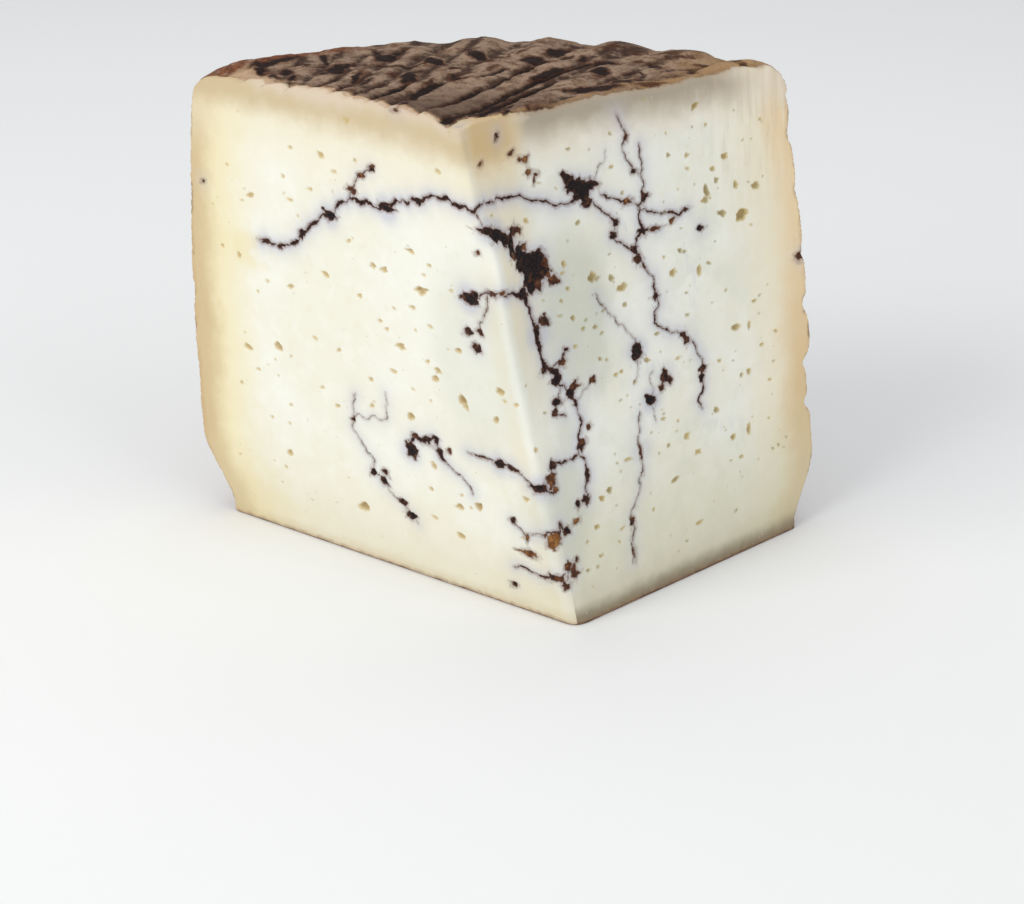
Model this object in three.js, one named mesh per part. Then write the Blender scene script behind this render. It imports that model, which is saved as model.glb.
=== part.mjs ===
// A wedge cut from a tall wheel of pressed sheep's-milk cheese, standing on the
// wheel's lower face. Two cut faces meet at a leaning front edge. Beside it a
// narrow facet of the right-hand cut falls back more steeply than the rest and
// leaves a shallow hollow at the bend. The curved back and the upper face keep
// the relief of the basket that the curd was pressed in.
//
// Millimetres, +Z up. The sections are worked out about the wheel's own axis,
// x to the right and y away from the front edge, and the finished body is then
// moved so that its origin is under the middle of its box, on the base plane.

import * as THREE from 'three';

// ---------------------------------------------------------------- dimensions
const HEIGHT = 138;            // base to the mean plane of the upper face
const FOOT = [23.5, -3.0];     // front edge at the base, from the wheel's axis
const PEAK = [-8.4, -3.1];     // front edge at the top: it leans over to the left
// the front edge is not straight: height, how far it is set back along the left cut
const EDGE_SWAY = [[0, 3.0], [20, 2.9], [45, 2.3], [68, 1.5], [84, 0.6], [95, -0.6], [101, -1.7], [106, -2.2],
  [110, -1.3], [114, 0.0], [118, 0.8], [123, 0.5], [138, 0.1]];
const FACET_FOOT = [24.4, -0.2];// bend at the right of the facet, at the base
const FACET_PEAK = [3.3, 14.5]; // and at the top
const LEFT_FACE_DEG = [144.5, 135.8];   // heading of the left cut, base and top
const RIGHT_FACE_DEG = [42.1, 37.3];    // heading of the right cut, base and top
const EDGE_ROUND = 3.0;        // softening of the front edge, along each face
const FACET_ROUND = 5.0;       // softening of the bend beside it
const RIM_ROUND = 1.6;         // softening where the cuts meet the curved rind
const TOP_BEVEL = 1.5;         // cut edge of the upper rind
const BELLY = 120.3;            // wheel's greatest radius
const BELLY_HEIGHT = 50;       // the height it is found at
const BARREL = 0.00118;        // how fast the wheel narrows above and below it, per mm
const FLATTENING = 3.6;        // how much smaller it is at the right-hand cut
const SHOULDER = 12.9;         // how far the upper rim rounds inwards
const SHOULDER_HEIGHT = 9;     // and over what height
const SHOULDER_SAG = 3;        // how much more height at the right-hand cut
const HEEL = 9.6;              // how far the lower rim draws in
const HEEL_HEIGHT = 24;        // and over what height
const DOME = 1.0;              // rise of the upper face
const LEFT_LEAN = 1.9;         // how much it stands above that beside the left cut, and below it at the outer end
const NOSE_DROP = 1.6;         // how far the upper face falls at the front edge
const STRAND_LENGTH = 19;      // strands of the basket printed on the upper face: how often they pass over and under
const STRAND_DEPTH = 1.2;
const STRAND_WIDTH = 8.6;      // a usual strand; narrower ones stand up less
const STRAND_FAN = [-79.0, -113.0];  // the strands fan out from here
const STRAND_HEADING_DEG = 63.86;    // along this heading, measured across which, 160 mm out,
// the furrows between them are found here
const FURROWS = [-75, -66, -57, -48, -39.5, -31, -22.4, -12.5, -8.9, -0.5, 11.2, 18.5, 25.1, 31.4, 38, 45, 52, 59, 66, 73, 80];
const STAKE_STEP_DEG = 12;     // upright stakes of the basket, round the wheel
const STAKE_FIRST_DEG = 63.2;  // one of the dips between them
const RIM_SCALLOP = 1.8;       // what they leave on the upper rim
const STAKE_DEPTH = 0.9;       // and on the curved back
// level grooves round the curved back: height, depth, half width
const GROOVES = [[37.5, 2.6, 2.4], [44, 1.9, 5.0], [50, 2.7, 2.4], [67.5, 2.0, 2.8], [83, 1.0, 2.6],
  [101, 0.8, 3.0], [118, 1.2, 2.6], [127.5, 0.9, 2.0]];

// ------------------------------------------------------------------ resolution
const FACE_STEPS = 20, BACK_STEPS = 46, FACET_STEPS = 3, CORNER_STEPS = 3;
const LEVELS = [0, 3, 7, 12, 18, 25, 31, 35, 37.5, 40.5, 44, 47.5, 50, 53, 59, 64, 67.5, 71, 77, 83, 90,
  96, 101, 106, 110, 114, 118, 123, 127.5, 131, 133.8, 135.6];
const TOP_MESH = 3.4, BASE_MESH = 13;

// ------------------------------------------------------------------ small maths
const rad = d => d * Math.PI / 180;
const mix = (a, b, t) => a + (b - a) * t;
const mix2 = (a, b, t) => [mix(a[0], b[0], t), mix(a[1], b[1], t)];
const clamp = (x, a = 0, b = 1) => Math.min(b, Math.max(a, x));
const smooth = (a, b, x) => { const t = clamp((x - a) / (b - a)); return t * t * (3 - 2 * t); };
const bell = x => Math.exp(-x * x);
const heading = deg => [Math.cos(rad(deg)), Math.sin(rad(deg))];

// ------------------------------------------------------------------ the wheel
// Radius of the bare wheel at height z, without the basket's relief.
function wheelRadius(z, deg) {
  const barrel = BELLY - BARREL * (z - BELLY_HEIGHT) ** 2;
  const tall = SHOULDER_HEIGHT + SHOULDER_SAG * smooth(80, 45, deg);
  const up = clamp((z - HEIGHT + tall) / tall);
  const shoulder = SHOULDER * (1 - Math.sqrt(1 - up * up));
  const heel = HEEL * (1 - smooth(2, HEEL_HEIGHT, z));
  const oval = FLATTENING * smooth(100, 40, deg) * smooth(6, 32, z) * smooth(138, 118, z);
  return barrel - shoulder - heel - oval;
}

// The basket's relief on the curved back: level grooves, deeper to the right,
// that wander a little and break step from stake to stake.
function backRelief(z, deg) {
  const right = smooth(120, 45, deg);
  const strength = mix(0.28, 1, right);
  let r = 0;
  GROOVES.forEach(([level, depth, half], k) => {
    const wander = 1.6 * Math.sin(rad(deg - 32) * 5 + k * 1.7) * smooth(32, 60, deg);
    const broken = mix(1, 0.55 + 0.45 * Math.cos(rad(deg - 32) * 15 + k * Math.PI), smooth(34, 52, deg));
    r -= depth * broken * bell((z - level - wander) / half);
  });
  const stake = 0.5 - 0.5 * Math.cos(2 * Math.PI * (deg - STAKE_FIRST_DEG) / STAKE_STEP_DEG);
  r += STAKE_DEPTH * (stake - 0.6) * smooth(8, 30, z) * smooth(34, 46, deg) * smooth(138, 128, deg);
  return r * strength * smooth(0, 8, z) * smooth(137, 130, z);
}

const backRadius = (z, deg) => wheelRadius(z, deg) + backRelief(z, deg);

// ------------------------------------------------------------------ upper face
// Strands pressed into the rind: broad ridges with narrow grooves between them,
// each one sinking where its neighbour rises.
function strandRelief(x, y) {
  const dx = x - STRAND_FAN[0], dy = y - STRAND_FAN[1], along = Math.hypot(dx, dy);
  const across = clamp((Math.atan2(dy, dx) - rad(STRAND_HEADING_DEG)) * 160, FURROWS[0], FURROWS[FURROWS.length - 1] - 1e-6);
  const k = FURROWS.findIndex(v => v > across), width = FURROWS[k] - FURROWS[k - 1];
  const ridge = Math.pow(Math.sin(Math.PI * (across - FURROWS[k - 1]) / width), 0.7) * Math.min(1, width / STRAND_WIDTH);
  const over = 0.5 + 0.5 * Math.sin(2 * Math.PI * along / STRAND_LENGTH + k * Math.PI + 0.6 * Math.sin(k * 2.3));
  const plain = bell((across + 6) / 22) * smooth(205, 150, along);  // long furrows near the nose
  return STRAND_DEPTH * (ridge * mix(0.5 + 0.5 * over, 0.85, plain) - 0.55);
}

function topHeight(x, y) {
  const rho = Math.hypot(x, y), deg = Math.atan2(y, x) * 180 / Math.PI;
  const dome = DOME * (1 - Math.pow((rho - 45) / 55, 2));
  const nose = NOSE_DROP * bell(Math.hypot(x - PEAK[0], y - PEAK[1]) / 6);
  const l = heading(LEFT_FACE_DEG[1]), along = (x - PEAK[0]) * l[0] + (y - PEAK[1]) * l[1];
  const off = (x - PEAK[0]) * l[1] - (y - PEAK[1]) * l[0];
  const ends = (1 - smooth(45, 72, along)) * smooth(20, 0, off) - smooth(70, 100, along) * smooth(10, 0, off);
  const lean = LEFT_LEAN * (ends + 0.3 * smooth(72, 95, along) * smooth(2, 8, off) * smooth(34, 16, off));
  const stake = 0.5 - 0.5 * Math.cos(2 * Math.PI * (deg - STAKE_FIRST_DEG) / STAKE_STEP_DEG);
  const scallop = (RIM_SCALLOP * stake - 0.6) * smooth(72, 92, rho) * smooth(24, 44, deg) * smooth(112, 98, deg);
  return HEIGHT + dome + lean - nose + scallop + strandRelief(x, y) * smooth(98, 88, rho);
}

// ------------------------------------------------------------------ one section
// Where a cut that starts at p and runs along a heading leaves the wheel.
function leaveWheel(p, deg, z) {
  const d = heading(deg);
  let t = 100;
  for (let i = 0; i < 12; i++) {
    const at = Math.atan2(p[1] + d[1] * t, p[0] + d[0] * t) * 180 / Math.PI;
    const r = backRadius(z, at), b = p[0] * d[0] + p[1] * d[1];
    t = -b + Math.sqrt(b * b - (p[0] * p[0] + p[1] * p[1]) + r * r);
  }
  return [p[0] + d[0] * t, p[1] + d[1] * t];
}

// A corner softened by a curve that touches both sides at the given distances.
function corner(before, at, after, reach, steps) {
  const toward = (q) => {
    const l = Math.hypot(q[0] - at[0], q[1] - at[1]);
    return mix2(at, q, Math.min(reach, 0.4 * l) / l);
  };
  const a = toward(before), b = toward(after), out = [];
  for (let i = 0; i <= steps; i++) {
    const t = i / steps;
    out.push(mix2(mix2(a, at, t), mix2(at, b, t), t));
  }
  return out;
}

function sway(z) {
  const k = Math.max(1, EDGE_SWAY.findIndex(row => row[0] >= z));
  const [a, b] = [EDGE_SWAY[k - 1], EDGE_SWAY[k]];
  return mix(a[1], b[1], smooth(a[0], b[0], z));
}

// The outline at height z, counter-clockwise from the front edge. Every height
// gives the same number of points, so the outlines can be joined level by level.
function outline(z) {
  const t = z / HEIGHT;
  const leftDeg = mix(LEFT_FACE_DEG[0], LEFT_FACE_DEG[1], t), l = heading(leftDeg);
  const straight = mix2(FOOT, PEAK, t), back = sway(z);
  const nose = [straight[0] + l[0] * back, straight[1] + l[1] * back], bend = mix2(FACET_FOOT, FACET_PEAK, t);
  const left = leaveWheel(nose, leftDeg, z);
  const right = leaveWheel(bend, mix(RIGHT_FACE_DEG[0], RIGHT_FACE_DEG[1], t), z);
  const degR = Math.atan2(right[1], right[0]) * 180 / Math.PI;
  const degL = Math.atan2(left[1], left[0]) * 180 / Math.PI;
  const onBack = f => {
    const deg = mix(degR, degL, f), r = backRadius(z, deg);
    return [r * Math.cos(rad(deg)), r * Math.sin(rad(deg))];
  };
  const reachF = mix(1.6, FACET_ROUND, t);
  const c1 = corner(left, nose, bend, EDGE_ROUND, CORNER_STEPS);
  const c2 = corner(nose, bend, right, reachF, CORNER_STEPS);
  const c3 = corner(bend, right, onBack(0.02), RIM_ROUND, 2);
  const c4 = corner(onBack(0.98), left, nose, RIM_ROUND, 2);
  const pts = [...c1];
  for (let i = 1; i < FACET_STEPS; i++) pts.push(mix2(c1[c1.length - 1], c2[0], i / FACET_STEPS));
  pts.push(...c2);
  for (let i = 1; i < FACE_STEPS; i++) pts.push(mix2(c2[c2.length - 1], c3[0], i / FACE_STEPS));
  pts.push(...c3);
  for (let i = 1; i < BACK_STEPS; i++) pts.push(onBack(i / BACK_STEPS));
  pts.push(...c4);
  for (let i = 1; i < FACE_STEPS; i++) pts.push(mix2(c4[c4.length - 1], c1[0], i / FACE_STEPS));
  return pts;
}

// The outline drawn in towards the middle, for the bevelled edge of the rind.
function drawnIn(pts, by) {
  const middle = [4, 52];
  return pts.map(p => mix2(p, middle, by / Math.hypot(p[0] - middle[0], p[1] - middle[1])));
}

// ------------------------------------------------------------------ flat caps
const inside = (pts, x, y) => {
  let c = false;
  for (let i = 0, j = pts.length - 1; i < pts.length; j = i++) {
    const [xi, yi] = pts[i], [xj, yj] = pts[j];
    if ((yi > y) !== (yj > y) && x < (xj - xi) * (y - yi) / (yj - yi) + xi) c = !c;
  }
  return c;
};

const clearance = (pts, x, y) => {
  let best = 1e9;
  for (let i = 0, j = pts.length - 1; i < pts.length; j = i++) {
    const [xi, yi] = pts[i], [xj, yj] = pts[j], dx = xj - xi, dy = yj - yi;
    const t = clamp(((x - xi) * dx + (y - yi) * dy) / (dx * dx + dy * dy));
    best = Math.min(best, Math.hypot(x - xi - dx * t, y - yi - dy * t));
  }
  return best;
};

// Delaunay triangles over an outline and a staggered grid of points inside it.
function fill(ring, pitch, slantDeg) {
  const pts = ring.map(p => [p[0], p[1]]);
  const u = heading(slantDeg), v = [-u[1], u[0]];
  for (let i = -60; i <= 60; i++) for (let j = -60; j <= 60; j++) {
    const s = (i + (j & 1) * 0.5) * pitch * 1.25, t = j * pitch * 0.9;
    const x = 10 + u[0] * s + v[0] * t, y = 55 + u[1] * s + v[1] * t;
    if (inside(ring, x, y) && clearance(ring, x, y) > 0.62 * pitch) pts.push([x, y]);
  }
  const n = pts.length, far = 1e4;
  const all = [...pts, [-far, -far], [far, -far], [0, far]];
  const circle = (a, b, c) => {
    const [ax, ay] = all[a], [bx, by] = all[b], [cx, cy] = all[c];
    const d = 2 * (ax * (by - cy) + bx * (cy - ay) + cx * (ay - by));
    const A = ax * ax + ay * ay, B = bx * bx + by * by, C = cx * cx + cy * cy;
    const x = (A * (by - cy) + B * (cy - ay) + C * (ay - by)) / d;
    const y = (A * (cx - bx) + B * (ax - cx) + C * (bx - ax)) / d;
    return { t: [a, b, c], x, y, r: Math.hypot(ax - x, ay - y) };
  };
  let tris = [circle(n, n + 1, n + 2)];
  for (let i = 0; i < n; i++) {
    const [x, y] = all[i], edges = new Map();
    tris = tris.filter(k => {
      if (Math.hypot(x - k.x, y - k.y) > k.r) return true;
      for (const [p, q] of [[k.t[0], k.t[1]], [k.t[1], k.t[2]], [k.t[2], k.t[0]]]) {
        if (!edges.delete(q + '_' + p)) edges.set(p + '_' + q, [p, q]);
      }
      return false;
    });
    for (const [p, q] of edges.values()) tris.push(circle(p, q, i));
  }
  const kept = tris.filter(k => k.t.every(i => i < n)).map(k => k.t).filter(([a, b, c]) =>
    inside(ring, (all[a][0] + all[b][0] + all[c][0]) / 3, (all[a][1] + all[b][1] + all[c][1]) / 3));
  return { pts, tris: kept };
}

// ------------------------------------------------------------------ the body
function wedge() {
  const xyz = [], index = [];
  const levels = [...LEVELS, HEIGHT - TOP_BEVEL];
  const rings = levels.map(z => outline(Math.min(z, HEIGHT)));
  const rim = drawnIn(outline(HEIGHT), TOP_BEVEL * 0.8);
  const n = rim.length;

  // level by level up the cuts and the curved back; the last few levels lean
  // with the uneven upper face
  levels.forEach((z, k) => rings[k].forEach((p, i) => {
    const lift = smooth(HEIGHT - 16, HEIGHT, z) * (topHeight(rim[i][0], rim[i][1]) - HEIGHT);
    xyz.push(p[0], p[1], z + lift);
  }));
  rim.forEach(p => xyz.push(p[0], p[1], topHeight(p[0], p[1])));
  for (let k = 0; k < levels.length; k++) for (let i = 0; i < n; i++) {
    const a = k * n + i, b = k * n + (i + 1) % n;
    index.push(a, b, b + n, a, b + n, a + n);
  }

  const cap = (ring, start, pitch, slant, height, up) => {
    const { pts, tris } = fill(ring, pitch, slant);
    const extra = xyz.length / 3 - n;
    for (let i = n; i < pts.length; i++) xyz.push(pts[i][0], pts[i][1], height(pts[i][0], pts[i][1]));
    const at = i => (i < n ? start + i : extra + i);
    for (const [a, b, c] of tris) {
      const area = (pts[b][0] - pts[a][0]) * (pts[c][1] - pts[a][1]) - (pts[b][1] - pts[a][1]) * (pts[c][0] - pts[a][0]);
      if ((area > 0) === up) index.push(at(a), at(b), at(c)); else index.push(at(a), at(c), at(b));
    }
  };
  cap(rings[0], 0, BASE_MESH, 0, () => 0, false);
  cap(rim, levels.length * n, TOP_MESH, 66, topHeight, true);

  const geometry = new THREE.BufferGeometry();
  geometry.setAttribute('position', new THREE.Float32BufferAttribute(xyz, 3));
  geometry.setIndex(index);
  geometry.computeBoundingBox();
  const box = geometry.boundingBox;
  geometry.translate(-(box.min.x + box.max.x) / 2, -(box.min.y + box.max.y) / 2, -box.min.z);
  geometry.computeVertexNormals();
  return geometry;
}

const paste = new THREE.MeshStandardMaterial({ color: 0xece2c2, roughness: 0.55, metalness: 0 });
const cheese = new THREE.Mesh(wedge(), paste);
cheese.name = 'pecorino_wedge';

const group = new THREE.Group();
group.add(cheese);

export default group;
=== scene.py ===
import math
import bpy
import numpy as np
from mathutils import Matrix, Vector
from mathutils.geometry import delaunay_2d_cdt


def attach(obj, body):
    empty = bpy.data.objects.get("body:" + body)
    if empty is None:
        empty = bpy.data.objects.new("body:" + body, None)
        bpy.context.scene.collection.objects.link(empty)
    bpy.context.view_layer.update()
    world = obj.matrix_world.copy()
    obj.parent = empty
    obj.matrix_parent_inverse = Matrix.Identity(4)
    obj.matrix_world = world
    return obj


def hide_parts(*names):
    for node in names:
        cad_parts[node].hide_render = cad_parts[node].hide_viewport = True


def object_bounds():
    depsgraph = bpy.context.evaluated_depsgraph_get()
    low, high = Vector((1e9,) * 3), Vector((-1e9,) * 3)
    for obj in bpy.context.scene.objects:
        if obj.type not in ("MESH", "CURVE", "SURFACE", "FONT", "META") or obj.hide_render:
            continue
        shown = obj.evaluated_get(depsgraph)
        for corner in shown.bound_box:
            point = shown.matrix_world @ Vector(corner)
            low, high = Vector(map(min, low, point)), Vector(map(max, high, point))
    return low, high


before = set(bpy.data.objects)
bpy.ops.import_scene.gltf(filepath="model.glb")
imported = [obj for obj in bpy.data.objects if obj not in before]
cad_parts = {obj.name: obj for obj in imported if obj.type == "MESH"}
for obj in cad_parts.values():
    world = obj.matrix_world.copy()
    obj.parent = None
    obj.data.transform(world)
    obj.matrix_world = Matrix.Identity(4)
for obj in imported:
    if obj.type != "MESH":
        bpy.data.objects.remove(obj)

cad_box = [list(c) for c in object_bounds()]
rng = np.random.default_rng(20)

# ---------------------------------------------------------------------------
# The wedge's own sizes, in millimetres about the wheel's axis, as in the solid
# ---------------------------------------------------------------------------
SHIFT = np.array([2.175445592254661, 58.368727774548844])   # wheel's axis to the part's origin
HEIGHT = 138.0
FOOT, PEAK = np.array([23.5, -3.0]), np.array([-8.4, -3.1])
FACET_FOOT, FACET_PEAK = np.array([24.4, -0.2]), np.array([3.3, 14.5])
EDGE_SWAY = np.array([(0, 3.0), (20, 2.9), (45, 2.3), (68, 1.5), (84, 0.6), (95, -0.6), (101, -1.7), (106, -2.2),
                      (110, -1.3), (114, 0.0), (118, 0.8), (123, 0.5), (138, 0.1)])
LEFT_DEG, RIGHT_DEG = (144.5, 135.8), (42.1, 37.3)
EDGE_ROUND, FACET_ROUND, RIM_ROUND, TOP_BEVEL = 3.0, 5.0, 1.6, 1.5
BELLY, BELLY_HEIGHT, BARREL, FLATTENING = 120.3, 50.0, 0.00118, 3.6
SHOULDER, SHOULDER_HEIGHT, SHOULDER_SAG, HEEL, HEEL_HEIGHT = 12.9, 9.0, 3.0, 9.6, 24.0
DOME, LEFT_LEAN, NOSE_DROP = 1.0, 1.9, 1.6
STRAND_LENGTH, STRAND_DEPTH, STRAND_WIDTH = 19.0, 1.2, 8.6
STRAND_FAN, STRAND_HEADING = (-79.0, -113.0), 63.86
FURROWS = np.array([-75, -66, -57, -48, -39.5, -31, -22.4, -12.5, -8.9, -0.5, 11.2, 18.5, 25.1, 31.4, 38, 45, 52, 59, 66, 73, 80])
STAKE_STEP, STAKE_FIRST, RIM_SCALLOP, STAKE_DEPTH = 12.0, 63.2, 1.8, 0.9
GROOVES = [(37.5, 2.6, 2.4), (44, 1.9, 5.0), (50, 2.7, 2.4), (67.5, 2.0, 2.8), (83, 1.0, 2.6),
           (101, 0.8, 3.0), (118, 1.2, 2.6), (127.5, 0.9, 2.0)]

# Truffle veins on the cut faces: thickness, darkness, and a path of points given
# as distance from the front edge (L, C) or from the bend (R), and height.
VEINS = [
    (0.55, 1.0, ["L", 4.2,117.6, 2.1,117.5, "C", 0.4,118.2, 2.8,119.1, 5.3,119, 7.7,118.7]),
    (0.3, 0.6, ["L", 0.9,118, 0.5,116, "C", 0.2,114]),
    (0.9, 0.95, ["C", 0.2,113.2, 4,112.3, 7.1,109.9, 9.8,107.4, 11.3,104.8]),
    (0.55, 1.0, ["L", 91.1,90.3, 88,91.7, 83.9,90.7, 79.3,92, 75.5,93.9, 72.7,96.8, 68.6,99.9, 63.9,102.9, 59.3,104.7, 56.7,106, 53.2,109.5, 49.1,111.6,
        43.9,111.3, 39.3,111, 35.2,111.9, 32.7,113.2, 28.6,114.8, 25.3,116, 22.1,116.2, 19.9,117.2, 16.6,118.9, 13.8,118.6, 11,119.3, 8.7,118.1, 6.1,118,
        3.1,117.4, 0.8,118]),
    (0.35, 0.6, ["L", 49.1,111.6, 47.5,114.1, 45.5,116.6, 42.9,118.8, 40,120.7, 37.5,121.8]),
    (0.4, 0.7, ["L", 10,92.5, 8,93.3, 5.1,95.8, 1.5,96, -0.2,96.5]),
    (0.35, 0.55, ["L", 5.1,95.8, 6.1,90.9, 8.6,87.4, 10.7,82.7]),
    (0.3, 0.55, ["L", 65.5,52.1, 67.5,48.4, 68.6,43.8, 69.8,41, 67.9,38, 66.3,35.5, 64,32.6, 65.1,28.8, 62.1,27.1, 60,23.7, 56.4,22, 54.9,20.2, 53.2,18.6, 52.1,16.6]),
    (0.28, 0.45, ["L", 68.6,43.8, 63.9,45, 58.7,46.2, 55.3,47.1, 54.4,50.7, 53.1,55.7]),
    (0.75, 0.95, ["L", 48.6,39.4, 47.6,42.6, 45.4,44.6, 41.6,44.5, 37.9,46.1, 37.5,42.7, 35.2,39.2]),
    (0.35, 0.7, ["L", 35.2,39.2, 32.4,37.2, 29.1,34.8, 28.3,32.3]),
    (0.4, 0.8, ["L", 26.4,45.2, 21.3,45.3, 16.7,44.7, 11.7,44.9, 8.1,43.7, 5.9,42, 3,40.8, "C", 2.4,40.5]),
    (0.38, 0.6, ["L", 16.1,27.9, 13.9,26.4, 11.8,24.1]),
    (0.38, 0.7, ["L", 9.9,25.4, 6,26, "R", -5.6,25.8]),
    (0.4, 0.75, ["L", 19.1,12.9, 17.6,13.5, 15.1,13.9, 11,12.8, 7,13.6, 3.5,14.4, "R", -3.6,15.5]),
    (0.5, 0.95, ["C", 6.8,118.9, 11.9,118.3, "R", 0.1,117.9, 2.5,116.2, 6,115.4, 8.9,114.4, 11.2,112.9, 14.1,112.8, 17.1,113.2, 19.5,115.7]),
    (0.38, 0.8, ["R", 23.3,111.9, 25.7,109.4, 28.3,107.4, 30.3,104.9, 28.9,101.8, 31.4,99.3, 34.3,96.8, 36.7,93.8, 39.1,90.8, 41.6,87.6, 41.8,82.7,
        41.1,78.5, 40.1,75.2, 42.5,73.1, 45.4,71.2, 49.6,70, 51.5,68, 53.8,65.9, 54.8,62.6, 56,58.5, 55.3,55.3, 54.8,51.4, 54.2,46.9]),
    (0.32, 0.6, ["R", 34.5,132.8, 35.9,130, 37.4,126.8, 35.6,123.8, 36.7,120.5, 38.7,117.3]),
    (0.36, 0.7, ["R", 41.4,124, 41.6,117.9, 41.6,112.9, 40.2,109.4, 38.5,107.4]),
    (0.38, 0.8, ["R", 26.4,113.1, 30.8,111.4, 34.9,110, 38.2,108.4, 39.6,106.4, 44.6,104.9, 50.5,103.9, 56.5,103.6]),
    (0.42, 0.85, ["R", 38.5,107.4, 39.4,102, 37.4,99.6, 35.9,96.2]),
    (0.6, 0.8, ["R", 39.3,101, 42.4,100.7, 45.6,100.2]),
    (0.25, 0.35, ["R", 24.5,116.4, 25.3,118.1, 26.7,120.5, 30,124.2]),
    (0.32, 0.5, ["R", 20.2,87.7, 22.4,83.7, 24.4,80.7, 26.7,77.7, 29.8,75.1, 32.5,72.4, 32.5,69.4]),
    (0.28, 0.35, ["R", 32.4,67.6, 32.2,64.6, 30.1,60.5]),
    (0.28, 0.4, ["R", 37.3,61.9, 37,57.5, 35.3,54.3, 36.1,50.9, 36.3,48.2]),
    (0.36, 0.55, ["R", 30.6,52.1, 29.8,46.4, 29.2,40.3, 29,35.3, "C", 34.6,31.5, 32.2,28.7, 30,26.1, 28.9,22.7, 28.1,18.2, 27.1,13.9, 25.8,10.8]),
    (0.75, 0.95, ["C", 12,93.2, 11.9,89.1, 11.9,85, 11.6,79.7, 11.9,73.7, "R", 2,71, 3.8,66.6, 7.1,63.5]),
    (0.62, 0.9, ["R", 7.1,63.5, 8.6,59.3, 9.3,54.5, 8.1,49.4, 6.9,46.8]),
    (0.5, 0.85, ["R", 6.9,46.8, 8.9,44.4, 9.3,40.3, 7.5,36.3, "C", 14.9,33.1]),
    (0.36, 0.75, ["R", 1.8,71.2, 5,73.1, 7.8,75.4]),
    (0.36, 0.7, ["R", 3.8,65.8, 2.1,62.5, 1,60, 4.4,57.9]),
    (0.25, 0.45, ["R", 14.8,65.4, 12.1,63.5, 10.3,61.7, 9,60]),
    (0.5, 0.9, ["C", 12,93.2, 7.7,93.9, 4.1,95.3, 1.3,96.1]),
    (0.55, 0.85, ["R", 6.9,46.8, 2.5,45.9, "C", 7.3,46.5, 5.3,44, 4.6,39.2, 0.2,41, "L", 6.4,40.9]),
    (0.36, 0.75, ["L", 6.6,26, "R", -6.2,28, -1,27.2]),
    (0.36, 0.7, ["L", 10.2,12.5, 6,13.6, "R", -4.8,14.1, -3.2,11.9]),
    (0.36, 0.65, ["L", 4,13.6, "R", -2.6,17.2, -0.5,14.7]),
]
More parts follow.
